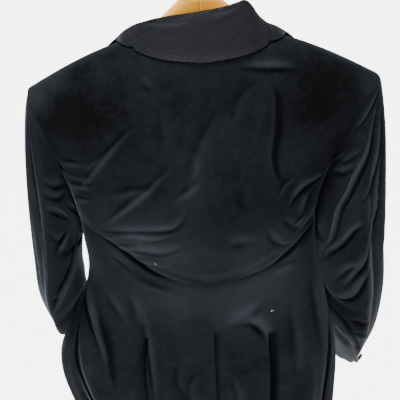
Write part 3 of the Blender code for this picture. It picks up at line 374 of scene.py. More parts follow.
# Creases of the sleeves, as lines through round (0 outer, a quarter the back) and along
GIRTH = 0.38
LENGTH = 0.50
TURN_CUT = 0.05
SLEEVE_CREASES = {
    LEFT: [
        {"line": [(0.090, 0.02), (0.158, 0.134), (0.183, 0.193),
                  (0.208, 0.261), (0.225, 0.378), (0.233, 0.513)],
         "half_width": 0.0040, "height": 0.0034},
        {"line": [(0.030, 0.04), (0.050, 0.20), (0.070, 0.40), (0.080, 0.60)],
         "half_width": 0.0050, "height": 0.0018},
        {"line": [(0.130, 0.30), (0.150, 0.42), (0.170, 0.55)], "half_width": 0.0050, "height": 0.0016},
        {"line": [(0.217, 0.168), (0.283, 0.134), (0.342, 0.034)], "half_width": 0.0032, "height": 0.0020},
        {"line": [(0.217, 0.202), (0.292, 0.168), (0.342, 0.092)], "half_width": 0.0030, "height": 0.0020},
        {"line": [(0.233, 0.235), (0.300, 0.212), (0.367, 0.202)], "half_width": 0.0034, "height": 0.0024},
        {"line": [(0.350, 0.160), (0.390, 0.110), (0.425, 0.059)], "half_width": 0.0034, "height": 0.0022},
        {"line": [(0.450, 0.269), (0.400, 0.437), (0.333, 0.513), (0.258, 0.597)],
         "half_width": 0.0060, "height": 0.0040},
        {"line": [(0.367, 0.261), (0.325, 0.319), (0.292, 0.361)], "half_width": 0.0040, "height": 0.0024},
        {"line": [(0.250, 0.521), (0.300, 0.525), (0.350, 0.500)], "half_width": 0.0036, "height": 0.0016},
        {"line": [(0.260, 0.280), (0.300, 0.300), (0.340, 0.260)], "half_width": 0.0040, "height": 0.0014},
        {"line": [(0.600, 0.30), (0.660, 0.42), (0.720, 0.56)], "half_width": 0.0060, "height": 0.0024},
        {"line": [(0.560, 0.56), (0.640, 0.60), (0.740, 0.58)], "half_width": 0.0050, "height": -0.0026},
        {"line": [(0.540, 0.68), (0.640, 0.70), (0.760, 0.66)], "half_width": 0.0050, "height": -0.0024},
        {"line": [(0.850, 0.08), (0.860, 0.30), (0.880, 0.55)], "half_width": 0.0070, "height": 0.0020},
        {"line": [(0.780, 0.12), (0.760, 0.30), (0.740, 0.46)], "half_width": 0.0060, "height": 0.0018},
    ],
    RIGHT: [
        {"line": [(0.070, 0.03), (0.120, 0.045), (0.192, 0.05), (0.233, 0.02)],
         "half_width": 0.0034, "height": 0.0020},
        {"line": [(0.100, 0.06), (0.150, 0.109), (0.183, 0.151), (0.225, 0.176),
                  (0.267, 0.202), (0.325, 0.235), (0.375, 0.345), (0.442, 0.471)],
         "half_width": 0.0040, "height": 0.0044},
        {"line": [(0.090, 0.08), (0.117, 0.168), (0.142, 0.210), (0.175, 0.235), (0.233, 0.252)],
         "half_width": 0.0038, "height": 0.0036},
        {"line": [(0.090, 0.16), (0.125, 0.244), (0.142, 0.303), (0.192, 0.345), (0.225, 0.378)],
         "half_width": 0.0038, "height": 0.0032},
        {"line": [(0.040, 0.06), (0.060, 0.20), (0.085, 0.36), (0.110, 0.50)],
         "half_width": 0.0044, "height": 0.0024},
        {"line": [(0.217, 0.303), (0.275, 0.311), (0.350, 0.370), (0.433, 0.462)],
         "half_width": 0.0040, "height": 0.0032},
        {"line": [(0.190, 0.340), (0.230, 0.400), (0.292, 0.462), (0.342, 0.513)],
         "half_width": 0.0040, "height": 0.0030},
        {"line": [(0.200, 0.430), (0.250, 0.471), (0.292, 0.521), (0.360, 0.556), (0.430, 0.560)],
         "half_width": 0.0044, "height": 0.0036},
        {"line": [(0.260, 0.420), (0.310, 0.440), (0.380, 0.500)], "half_width": 0.0036, "height": 0.0022},
        {"line": [(0.208, 0.134), (0.258, 0.109), (0.300, 0.067)], "half_width": 0.0032, "height": 0.0020},
        {"line": [(0.225, 0.160), (0.283, 0.126), (0.342, 0.034)], "half_width": 0.0032, "height": 0.0022},
        {"line": [(0.255, 0.085), (0.290, 0.055), (0.320, 0.020)], "half_width": 0.0030, "height": 0.0016},
        {"line": [(0.458, 0.640), (0.350, 0.664), (0.283, 0.756), (0.240, 0.830)],
         "half_width": 0.0060, "height": 0.0036},
        {"line": [(0.325, 0.640), (0.258, 0.632), (0.200, 0.640)], "half_width": 0.0044, "height": -0.0022},
        {"line": [(0.310, 0.700), (0.250, 0.690), (0.200, 0.700)], "half_width": 0.0040, "height": 0.0016},
        {"line": [(0.520, 0.40), (0.600, 0.46), (0.690, 0.44)], "half_width": 0.0050, "height": 0.0026},
        {"line": [(0.540, 0.54), (0.640, 0.58), (0.740, 0.54)], "half_width": 0.0050, "height": -0.0028},
        {"line": [(0.540, 0.64), (0.640, 0.68), (0.760, 0.64)], "half_width": 0.0050, "height": -0.0026},
        {"line": [(0.850, 0.08), (0.870, 0.30), (0.890, 0.55)], "half_width": 0.0070, "height": 0.0024},
        {"line": [(0.780, 0.12), (0.750, 0.30), (0.730, 0.50)], "half_width": 0.0060, "height": 0.0020},
    ],
}
# Slack of the sleeves that the creases do not give: towards the body, and in from the outer edge
SLEEVE_BULGES = [
    {"side": LEFT, "round": 0.49, "spread": 0.12, "along": 0.68, "reach": 0.18, "height": 0.0175},
    {"side": LEFT, "round": 0.04, "spread": 0.13, "along": 0.56, "reach": 0.34, "height": -0.0085},
    {"side": LEFT, "round": 0.03, "spread": 0.16, "along": 0.10, "reach": 0.14, "height": -0.0035},
    {"side": RIGHT, "round": 0.46, "spread": 0.12, "along": 0.66, "reach": 0.20, "height": 0.0100},
    {"side": RIGHT, "round": 0.50, "spread": 0.12, "along": 0.46, "reach": 0.10, "height": 0.0090},
    {"side": RIGHT, "round": 0.05, "spread": 0.13, "along": 0.62, "reach": 0.28, "height": -0.0085},
    {"side": RIGHT, "round": 0.04, "spread": 0.16, "along": 0.22, "reach": 0.16, "height": -0.0040},
]
HEM_WAVE = {LEFT: 0.0012, RIGHT: 0.0040}
HEM_WAVES_ROUND = 4

# Collar: the roll stands above the neckline, the leaf edge lies on the coat
COLLAR_WALL = 0.0016
COLLAR_LIFT = [
    {"along": 0.00, "left": 0.0340, "right": 0.0340},
    {"along": 0.05, "left": 0.0320, "right": 0.0360},
    {"along": 0.10, "left": 0.0300, "right": 0.0385},
    {"along": 0.15, "left": 0.0272, "right": 0.0420},
    {"along": 0.19, "left": 0.0252, "right": 0.0440},
    {"along": 0.22, "left": 0.0232, "right": 0.0370},
    {"along": 0.25, "left": 0.0212, "right": 0.0270},
    {"along": 0.31, "left": 0.0180, "right": 0.0155},
    {"along": 0.42, "left": 0.0110, "right": 0.0075},
    {"along": 0.55, "left": 0.0080, "right": 0.0060},
    {"along": 0.68, "left": 0.0052, "right": 0.0052},
    {"along": 1.00, "left": 0.0048, "right": 0.0048},
]
COLLAR_TURN = 0.42
COLLAR_START = -0.0006
COLLAR_COLUMNS = [
    {"to": COLLAR_TURN, "steps": 60},
    {"to": 0.55, "steps": 30},
    {"to": 1.00, "steps": 90},
]
COLLAR_ROWS = [
    {"to": 0.80, "steps": 8},
    {"to": 1.40, "steps": 16},
    {"to": 2.00, "steps": 16},
]
LEAF_BACK = [
    {"along": 0.00, "down": 0.119},
    {"along": 0.12, "down": 0.104},
    {"along": 0.18, "down": 0.096},
    {"along": 0.24, "down": 0.106},
    {"along": 0.30, "down": 0.134},
    {"along": 0.36, "down": 0.114},
    {"along": 0.40, "down": 0.056},
    {"along": 0.42, "down": 0.001},
]
LEAF_CROSS_ACROSS = 0.462
LEAF_EDGE = [
    {"down": 0.00, "across": 1.521},
    {"down": 0.25, "across": 1.398},
    {"down": 0.50, "across": 1.330},
    {"down": 0.75, "across": 1.370},
    {"down": 1.00, "across": 1.550},
    {"down": 1.13, "across": 1.780},
]
ROLL_END = 1.130
LEAF_LIFT = 0.0034
COLLAR_FOOT_GAP = 0.0007
ROLL_BEYOND = 0.0032
STAND_HOLLOW = 0.002
ROLL_ROUND = 0.030
ROLL_RISE = 0.35
LEAF_PULL = 0.9
LEAF_SPRING = 0.004
LEAF_DROP = 0.55
LEAF_OUT = 0.35
CHEST_FROM = 0.01
CHEST_TURN = 0.35
FLATTEN = (-0.09, 0.12)
AHEAD_STEP = 0.03
# Painted shade: the silk is painted darker along its roll, where it turns away from the light
ROLL_PAINTED_SHADE = 0.8
ROLL_PAINTED_SHADE_ROW = 1.02
ROLL_PAINTED_SHADE_WIDTH = 0.10
# Creases of the collar, as lines through along (0 the centre back) and row
COLLAR_SCALE = (0.50, 0.045)
COLLAR_CREASES = {
    LEFT: [
        {"line": [(0.300, 1.15), (0.220, 1.28), (0.120, 1.36), (0.020, 1.34)],
         "half_width": 0.0024, "height": 0.0010},
        {"line": [(0.380, 1.40), (0.330, 1.55), (0.300, 1.80)], "half_width": 0.0030, "height": 0.0008},
        {"line": [(0.000, 1.12), (0.150, 1.10), (0.300, 1.08)], "half_width": 0.0030, "height": 0.0008},
    ],
    RIGHT: [
        {"line": [(0.020, 1.34), (0.100, 1.30), (0.200, 1.20)], "half_width": 0.0024, "height": 0.0008},
        {"line": [(0.300, 1.30), (0.340, 1.50), (0.360, 1.75)], "half_width": 0.0030, "height": 0.0008},
        {"line": [(0.000, 1.12), (0.150, 1.12), (0.300, 1.10)], "half_width": 0.0030, "height": 0.0008},
    ],
}

# How deep a crease's trough is, as a share of its ridge
TROUGH_SHARE = 0.50

# Painted light and shade of the creases: crests are painted lighter and troughs darker. The crease height
# that gives the full painted shade, and that shade
CREASE_SHADE_FULL = 0.0021
CREASE_SHADE_STRENGTH = 1.00
CREST_POWER = 1.4
# Painted light: how much lighter the whole pile of each sleeve is painted; the left sleeve is painted lighter
SLEEVE_SHADE = {LEFT: 0.22, RIGHT: 0.0}

# Edges: how far a seam sinks, and how a free edge and its wall thin out to look turned
SEAM_SINK = 0.0003
SEAM_WIDTH = 0.0022
EDGE_WIDTH = 0.0030
EDGE_THIN = 0.45
EDGE_SINK = 0.0004

# Patches painted into the pile's colour. The light ones are painted sheen, near the shoulder tips, about the
# waist, on the middle of the back and on the chest. The dark ones are darker patches on the shoulder blades
SHEEN_AND_DARK_PATCHES = [
    {"face": BACK, "x": 0.166, "z": -0.222, "wide": 0.060, "tall": 0.054, "shade": -0.50},
    {"face": BACK, "x": -0.160, "z": -0.205, "wide": 0.068, "tall": 0.046, "shade": -0.50},
    {"face": BACK, "x": 0.222, "z": -0.205, "wide": 0.020, "tall": 0.022, "shade": 0.50},
    {"face": BACK, "x": 0.190, "z": -0.185, "wide": 0.025, "tall": 0.014, "shade": 0.40},
    {"face": BACK, "x": -0.222, "z": -0.208, "wide": 0.018, "tall": 0.020, "shade": 0.40},
    {"face": BACK, "x": 0.085, "z": -0.405, "wide": 0.060, "tall": 0.040, "shade": 0.70},
    {"face": BACK, "x": 0.010, "z": -0.480, "wide": 0.110, "tall": 0.038, "shade": 0.65},
    {"face": BACK, "x": -0.085, "z": -0.450, "wide": 0.060, "tall": 0.050, "shade": 0.70},
    {"face": BACK, "x": -0.040, "z": -0.520, "wide": 0.040, "tall": 0.020, "shade": 0.40},
    {"face": BACK, "x": 0.020, "z": -0.330, "wide": 0.030, "tall": 0.030, "shade": 0.30},
    {"face": BACK, "x": 0.100, "z": -0.375, "wide": 0.040, "tall": 0.014, "shade": 0.30},
    {"face": FRONT, "x": 0.120, "z": -0.420, "wide": 0.060, "tall": 0.060, "shade": 0.40},
    {"face": FRONT, "x": -0.120, "z": -0.430, "wide": 0.060, "tall": 0.060, "shade": 0.40},
]

# Hanger
ARM_END_X = 0.0030
ARM_JOINT_X = 0.0
WIRE_RADIUS = 0.0019
HOOK_RADIUS = 0.019
HOOK_FOOT_Z = -0.0676
HOOK_START_ANGLE = 155
HOOK_END_ANGLE = -75
HOOK_STEPS = 40
HOOK_NECK = 0.010
WIRE_SIDES = 20

# Buttons
FRONT_BUTTON_RADIUS = 0.0095
CUFF_BUTTON_RADIUS = 0.0065
BUTTON_HEIGHT = 0.0042
BUTTON_GAP = 0.0003
BUTTON_SIDES = 36
FRONT_BUTTONS = [
    {"down": 1.030, "across": 1.40},
    {"down": 1.085, "across": 1.47},
    {"down": 1.140, "across": 1.54},
]
CUFF_BUTTONS = [0.915, 0.955]
CUFF_BUTTON_ROUND = {LEFT: 0.25, RIGHT: 0.20}

# White lint on the back's pile: where it lies and how long it is
LINT = [
    {"side": LEFT, "x": 0.074, "z": -0.428, "length": 0.0040, "turn": 65},
    {"side": RIGHT, "x": -0.083, "z": -0.510, "length": 0.0060, "turn": -12},
]
LINT_RADIUS = 0.00009
LINT_STRANDS = 3

# Columns of each piece's grid
PIECE_COLUMNS = {
    "back": 90, "side_body": 32, "forepart": 72, "skirt": 72, "top_sleeve": 96, "under_sleeve": 70,
}


def stations(start, stretches):
    """Places from a start on: each stretch of the table runs to its end in even steps."""
    places = [start]
    for row in stretches:
        places.extend(np.linspace(places[-1], row["to"], row["steps"] + 1)[1:])
    return np.array(places)


def ramp(table, key, column, at):
    """The value of a column at places between the rows of a table, on a smooth curve."""
    keys = np.array([row[key] for row in table])
    values = np.array([row[column] for row in table])
    slopes = np.gradient(values, keys)
    spot = np.clip(at, keys[0], keys[-1])
    i = np.clip(np.searchsorted(keys, spot, side="right") - 1, 0, len(keys) - 2)
    span = keys[i + 1] - keys[i]
    steps = (values[i + 1] - values[i]) / span
    start = np.clip(slopes[i], -3 * abs(steps), 3 * abs(steps))
    end = np.clip(slopes[i + 1], -3 * abs(steps), 3 * abs(steps))
    return hermite(values[i], values[i + 1], start * span, end * span, (spot - keys[i]) / span)


def hermite(a, b, leave, arrive, t):
    """A cubic from a to b that leaves and arrives with the given tangents."""
    return ((2 * t**3 - 3 * t**2 + 1) * a + (t**3 - 2 * t**2 + t) * leave
            + (3 * t**2 - 2 * t**3) * b + (t**3 - t**2) * arrive)


def smooth(low, high, value):
    """0 below low, 1 above high, and an even curve between."""
    t = np.clip((value - low) / (high - low), 0.0, 1.0)
    return t * t * (3 - 2 * t)


def bump(distance, half_width):
    """A soft hill of height 1."""
    return np.exp(-(distance / half_width) ** 2)


def points(x, y, z):
    """Three grids of numbers as one grid of points."""
    return np.stack(np.broadcast_arrays(x, y, z), -1)


def unit(vectors):
    """The same directions with length 1."""
    return vectors / np.maximum(np.linalg.norm(vectors, axis=-1, keepdims=True), 1e-9)


def side_name(side):
    return "left" if side == LEFT else "right"


def curve_points(line):
    """A smooth curve through the points of a line."""
    route = np.array(line, float)
    if len(route) < 3:
        return route
    slopes = np.gradient(route, axis=0)
    found = []
    for k in range(len(route) - 1):
        for t in np.linspace(0, 1, 5, endpoint=False):
            found.append(hermite(route[k], route[k + 1], slopes[k], slopes[k + 1], t))
    found.append(route[-1])
    return np.array(found)


def line_distance(route, a, b):
    """How far places lie from a line, on which side of it, and how far along it."""
    best = np.full(np.shape(a), 9.0)
    away = np.ones(np.shape(a))
    share = np.zeros(np.shape(a))
    count = len(route) - 1
    for k in range(count):
        start = route[k]
        step = route[k + 1] - start
        over_a = a - start[0]
        over_b = b - start[1]
        t = np.clip((over_a * step[0] + over_b * step[1]) / (step @ step), 0, 1)
        gap = np.hypot(over_a - step[0] * t, over_b - step[1] * t)
        near = gap < best
        share = np.where(near, (k + t) / count, share)
        away = np.where(near, np.sign(step[0] * over_b - step[1] * over_a), away)
        best = np.minimum(gap, best)
    return best, away, share


def crease_height(creases, a, b):
    """How far a table of creases moves places outward: ridges, each steep on the side of its trough."""
    total = np.zeros(np.shape(a))
    for crease in creases:
        gap, away, share = line_distance(curve_points(crease["line"]), a, b)
        taper = np.sin(math.pi * np.clip(share, 0.02, 0.98))
        width = crease["half_width"] * (0.55 + 0.45 * taper)
        signed = gap * away
        ridge = np.where(signed > 0, bump(signed, 0.7 * width), bump(signed, 1.6 * width))
        profile = ridge - TROUGH_SHARE * bump(signed - 1.5 * width, 0.8 * width)
        total += crease["height"] * profile * taper
    return total


def body_creases(face, x, z):
    """How far the creases of the back or the foreparts move places outward."""
    return crease_height(BACK_CREASES if face == BACK else FRONT_CREASES, x, z)


def sleeve_creases(side, turn, along):
    """How far the creases of a sleeve move places outward."""
    rows = [dict(row, line=[(a * GIRTH, b * LENGTH) for a, b in row["line"]]) for row in SLEEVE_CREASES[side]]
    return crease_height(rows, turn * GIRTH, along * LENGTH)


def crease_light_and_shade(raised):
    """Painted highlight and painted shade: how much lighter the pile is painted on ridges, and how much
    darker in troughs.
    """
    share = np.clip(raised / CREASE_SHADE_FULL, -1, 1)
    return CREASE_SHADE_STRENGTH * np.where(share > 0, share**CREST_POWER, share)


def shoulder_height(share):
    """The height of the shoulder line, slightly crowned between the neck and the tip."""
    return NECK[2] + (TIP[2] - NECK[2]) * share + SHOULDER_CROWN * np.sin(math.pi * share)


def top_edge(side, across):
    """The neckline and the shoulder line, round one half of the coat."""
    back_turn = np.clip(across / NECK_ACROSS, -1, 1) * math.pi / 2
    neck = points(NECK[0] * np.sin(back_turn), NECK[1] + (NAPE_Y - NECK[1]) * np.cos(back_turn),
                  NAPE_Z + (1 - np.cos(back_turn)) * (NECK[2] - NAPE_Z))
    behind = np.clip((across - NECK_ACROSS) / (1 - NECK_ACROSS), 0, 1)
    before = np.clip((FRONT_NECK_ACROSS - across) / (FRONT_NECK_ACROSS - 1), 0, 1)
    share = np.where(across <= 1, behind, before)
    shoulder = points(NECK[0] + (TIP[0] - NECK[0]) * share, NECK[1] + (TIP[1] - NECK[1]) * share,
                      shoulder_height(share))
    front_turn = np.clip((across - FRONT_NECK_ACROSS) / (2 - FRONT_NECK_ACROSS), 0, 1) * math.pi / 2
    throat = points(NECK[0] * np.cos(front_turn), NECK[1] + (PIT_Y - NECK[1]) * np.sin(front_turn),
                    NECK[2] + (PIT_Z - NECK[2]) * (1 - np.cos(front_turn)))
    wide = across[..., None]
    place = np.where(wide <= NECK_ACROSS, neck, np.where(wide <= FRONT_NECK_ACROSS, shoulder, throat))
    return place * (side, 1, 1)


def section_point(side, across, height):
    """Places of the body below the underarm."""
    half = ramp(SECTIONS, "z", side_name(side), height)
    turn = across * math.pi / 2
    x = side * half * np.sign(np.sin(turn)) * abs(np.sin(turn)) ** SECTION_POWER
    behind = ramp(SECTIONS, "z", "back", height) * np.cos(turn)
    before = -ramp(SECTIONS, "z", "front", height) * abs(np.cos(turn)) ** SECTION_POWER
    return points(x, np.where(across <= 1, behind, before), height)


def smooth_body(side, face, across, down):
    """The coat's surface with no folds."""
    below = section_point(side, across, UNDERARM_Z - np.maximum(down - 1, 0))
    top = top_edge(side, across)
    low = section_point(side, across, np.full_like(across, UNDERARM_Z))
    under = section_point(side, across, np.full_like(across, UNDERARM_Z - STEP))
    reach = np.linalg.norm(low - top, axis=-1, keepdims=True)
    arrive = (under - low) / STEP * reach
    away = 1 if face == BACK else -1
    leave = points(0, away * ramp(TOP_TANGENTS, "across", "out", across),
                   -ramp(TOP_TANGENTS, "across", "down", across))
    yoke = hermite(top, low, leave, arrive, np.clip(down, 0, 1)[..., None])
    return np.where(down[..., None] >= 1, below, yoke)


def fold_height(side, face, across, down, fine):
    """How far folds, waves and, in fine cloth, creases move the surface outward."""
    total = np.zeros(np.shape(across))
    place = smooth_body(side, face, across, down)
    x, z = place[..., 0], place[..., 2]
    if face == BACK:
        fade = 1 - smooth(FADE_SIDE, 1.0, across)
        fade = fade * smooth(*FADE_TOP, down) * (1 - smooth(*FADE_WAIST, down))
        for fold in LARGE_FOLDS:
            gap, _, share = line_distance(np.array(fold["line"]), x, z)
            ends = FADE_ENDS + (1 - FADE_ENDS) * np.sin(math.pi * share) ** 0.5
            total += fold["height"] * bump(gap, fold["half_width"]) * fade * ends
    if fine:
        edge = 1 - smooth(0.93, 1.0, across) * (1 - smooth(1.0, 1.02, across)) * (down < 1.0)
        total += body_creases(face, x, z) * cloth_settings().crease_depth * edge
    grow = smooth(WAVE_START, WAVE_START + WAVE_GROWTH, down)
    for wave in TAIL_WAVES:
        if wave["side"] == side:
            total += grow * wave["height"] * bump(across - wave["across"], wave["half_width"])
    return total


def outward(function, side, face, across, down):
    """The direction out of a surface of the body, from small steps along it."""
    above = np.maximum(down - DOWN_STEP, 0)
    along = function(side, face, across, down + DOWN_STEP) - function(side, face, across, above)
    nearer = function(side, face, across - ACROSS_STEP, down)
    round_ = function(side, face, across + ACROSS_STEP, down) - nearer
    return unit(np.cross(round_, along) * side)


def body(side, face, across, down, fine=False):
    """The coat's outer surface, with its folds."""
    across, down = np.broadcast_arrays(np.asarray(across, float), np.asarray(down, float))
    height = fold_height(side, face, across, down, fine)
    normal = outward(smooth_body, side, face, across, down)
    return smooth_body(side, face, across, down) + normal * height[..., None]


def body_layer(side, face, across, down, lift):
    """Places moved off the coat's outer surface."""
    across, down = np.broadcast_arrays(np.asarray(across, float), np.asarray(down, float))
    return body(side, face, across, down) + outward(body, side, face, across, down) * lift


def back_seam(down):
    return ramp(BACK_SEAM, "down", "across", down)


def side_seam(side, down):
    return ramp(SIDE_SEAM, "down", side_name(side), down)


def front_edge(down):
    return ramp(FRONT_EDGE, "down", "across", down)


def armhole_ring(side):
    """The armhole at even shares round from the shoulder tip by the back and the underarm."""
    share = np.linspace(0, 1, 361)
    behind = body(side, BACK, 1.0, np.clip(2 * share, 0, 1))
    before = body(side, FRONT, 1.0, np.clip(2 * (1 - share), 0, 1))
    return share, np.where(share[:, None] <= 0.5, behind, before)


ARMHOLES = {}


def armhole(side, share):
    """Places on the armhole."""
    if side not in ARMHOLES:
        ARMHOLES[side] = armhole_ring(side)
    keys, ring = ARMHOLES[side]
    return np.stack([np.interp(share, keys, ring[:, k]) for k in range(3)], -1)


def sleeve_ring(side, share, along):
    """Places of the sleeve below its cap."""
    table = SLEEVE_SECTIONS[side]
    value = {key: ramp(table, "along", key, along) for key in ("x", "y", "z", "half_x", "half_y", "tilt")}
    turn = share * 2 * math.pi
    tilt = np.radians(value["tilt"])
    across = value["half_x"] * np.cos(turn) * side
    depth = value["half_y"] * np.sin(turn)
    return points(value["x"] + across, value["y"] + depth * np.cos(tilt), value["z"] - depth * np.sin(tilt))


def smooth_sleeve(side, share, along):
    """The sleeve's surface with no folds, from the armhole to the cuff."""
    share = share % 1.0
    cap_end = np.full_like(share, CAP_ALONG)
    start = armhole(side, share)
    end = sleeve_ring(side, share, cap_end)
    beyond = sleeve_ring(side, share, cap_end + 0.02)
    reach = np.linalg.norm(end - start, axis=-1, keepdims=True)
    arrive = unit(beyond - end) * reach
    top = (1 + np.cos(share * 2 * math.pi)) / 2
    out = side * (UNDERARM_OUT + (CAP_OUT - UNDERARM_OUT) * top)
    leave = points(out, 0, -CAP_DROP * reach[..., 0] * (1 - top))
    start = start - np.array((side * ARMHOLE_LAP, 0, 0))
    cap = hermite(start, end, leave, arrive, np.clip(along / CAP_ALONG, 0, 1)[..., None])
    return np.where(along[..., None] >= CAP_ALONG, sleeve_ring(side, share, along), cap)


def sleeve_outward(function, side, share, along):
    """The direction out of the sleeve."""
    nearer = np.maximum(along - ACROSS_STEP, 0)
    lengthwise = function(side, share, np.minimum(along + ACROSS_STEP, 1)) - function(side, share, nearer)
    round_ = function(side, share + ROUND_STEP, along) - function(side, share - ROUND_STEP, along)
    return unit(np.cross(lengthwise, round_) * side)


def turn_of(share):
    """Shares round the sleeve with their jump at the front, where no crease lies."""
    return (share + TURN_CUT) % 1.0 - TURN_CUT


def sleeve(side, share, along, fine=False):
    """The sleeve's outer surface, with its ridges, the folds of the elbow and its creases."""
    fade = smooth(*RIDGE_START, along) * (1 - RIDGE_LOSS * smooth(*RIDGE_END, along))
    total = np.zeros(np.shape(along))
    turn = turn_of(share)
    for wave in SLEEVE_WAVES:
        if wave["side"] == side:
            total += wave["height"] * bump(turn - wave["round"], wave["half_width"]) * fade
    for bend in SLEEVE_BENDS:
        if bend["side"] == side:
            inside = bump(turn - BEND_ROUND, BEND_SPREAD)
            total += bend["height"] * bump(along - bend["along"], bend["half_width"]) * inside
    if fine:
        total += sleeve_creases(side, turn, along) * cloth_settings().crease_depth * smooth(0.0, 0.03, along)
        for bulge in SLEEVE_BULGES:
            if bulge["side"] == side:
                around = bump((turn - bulge["round"] + 0.5) % 1.0 - 0.5, bulge["spread"])
                total += bulge["height"] * around * bump(along - bulge["along"], bulge["reach"])
    normal = sleeve_outward(smooth_sleeve, side, share, along)
    place = smooth_sleeve(side, share, along) + normal * total[..., None]
    if fine:
        wave = HEM_WAVE[side] * np.sin(turn * 2 * math.pi * HEM_WAVES_ROUND + 0.8) * smooth(0.86, 1.0, along)
        place[..., 2] += wave
    return place


def collar_down(along):
    """How far down the forepart a place along the collar lies."""
    return np.maximum(ROLL_END * (along - COLLAR_TURN) / (1 - COLLAR_TURN), 0.001)


def collar_point(side, along, row):
    """Places of the collar. Rows from 0 to 1 climb the stand, and from 1 to 2 the leaf falls."""
    behind = (along <= COLLAR_TURN)[..., None]
    share = np.clip(along / COLLAR_TURN, -1, 1)
    down = collar_down(along)
    edge_across = front_edge(down)
    base = np.where(behind, top_edge(side, NECK_ACROSS * share), body(side, FRONT, edge_across, down))
    turn = share * math.pi / 2
    neck_away = points(side * np.sin(turn), np.cos(turn), np.zeros_like(turn))
    chest_away = outward(body, side, FRONT, edge_across, np.maximum(down, CHEST_FROM))
    on_chest = smooth(0.0, CHEST_TURN, down)[..., None]
    away = np.where(behind, neck_away, unit(points(side, 0, 0) * (1 - on_chest) + chest_away * on_chest))
    flat = smooth(COLLAR_TURN + FLATTEN[0], COLLAR_TURN + FLATTEN[1], along)[..., None]
    rise = unit(np.array((0, 0, 1.0)) * (1 - flat) + away * flat)
    ahead = body(side, FRONT, edge_across + AHEAD_STEP, down)
    beyond = unit(ahead - body(side, FRONT, edge_across, down))
    foot = base + rise * COLLAR_FOOT_GAP + np.where(behind, 0.0, beyond * ROLL_BEYOND * flat)
    lift = ramp(COLLAR_LIFT, "along", side_name(side), along)[..., None]
    roll = foot + rise * lift
    climb = np.clip(row, 0, 1)[..., None]
    stand = foot + (roll - foot) * climb - away * STAND_HOLLOW * np.sin(math.pi * climb) * (1 - flat)
    leaf_down = ramp(LEAF_BACK, "along", "down", abs(along))
    edge_back = body_layer(side, BACK, LEAF_CROSS_ACROSS * share, leaf_down, LEAF_LIFT)
    edge_front = body_layer(side, FRONT, ramp(LEAF_EDGE, "down", "across", down), down, LEAF_LIFT)
    edge = np.where(behind, edge_back, edge_front)
    fall = edge - roll
    length = np.linalg.norm(fall, axis=-1, keepdims=True)
    leave = (rise * ROLL_RISE + away) * ROLL_ROUND * (1 - flat)
    leave = leave + (fall * LEAF_PULL + away * LEAF_SPRING) * flat
    drop = (np.array((0, 0, -LEAF_DROP)) + away * LEAF_OUT) * length
    arrive = drop * (1 - flat) + fall * LEAF_PULL * flat
    leaf = hermite(roll, edge, leave, arrive, np.clip(row - 1, 0, 1)[..., None])
    return np.where(row[..., None] <= 1, stand, leaf)


def grid_normals(place, flip):
    """Directions out of a grid of points."""
    down = np.gradient(place, axis=0)
    across = np.gradient(place, axis=1)
    return unit(np.cross(across, down)) * flip


def arc_lengths(place):
    """How far each point of a grid lies across and down its cloth, in metres."""
    across = np.linalg.norm(np.diff(place, axis=1), axis=-1)
    down = np.linalg.norm(np.diff(place, axis=0), axis=-1)
    across = np.concatenate([np.zeros((len(place), 1)), np.cumsum(across, axis=1)], axis=1)
    down = np.concatenate([np.zeros((1, place.shape[1])), np.cumsum(down, axis=0)], axis=0)
    return across, down


def free_edge(place, free):
    """1 on the free edges of a grid's cloth, and 0 a little way in. free holds a weight for each edge."""
    across, down = arc_lengths(place)
    gaps = {"start": across, "stop": across[:, -1:] - across, "hem": down[-1:, :] - down}
    near = np.zeros(place.shape[:2])
    for name, weight in free.items():
        near = np.maximum(near, weight * (1 - smooth(0.0, EDGE_WIDTH, gaps[name])))
    return near


def sheen_and_dark_patch_shade(face, place):
    """The shade painted into the pile at each point, from the table of patches: painted sheen in the light
    ones, darkening in the dark ones.
    """
    shade = np.zeros(place.shape[:2])
    for patch in SHEEN_AND_DARK_PATCHES:
        if patch["face"] == face:
            over = ((place[..., 0] - patch["x"]) / patch["wide"]) ** 2
            under = ((place[..., 2] - patch["z"]) / patch["tall"]) ** 2
            shade += patch["shade"] * np.exp(-over - under)
    return shade


def cloth_settings():
    return bpy.context.scene.tailcoat_cloth


def colour_settings():
    return bpy.context.scene.tailcoat_colours


def stage_settings():
    return bpy.context.scene.tailcoat_stage


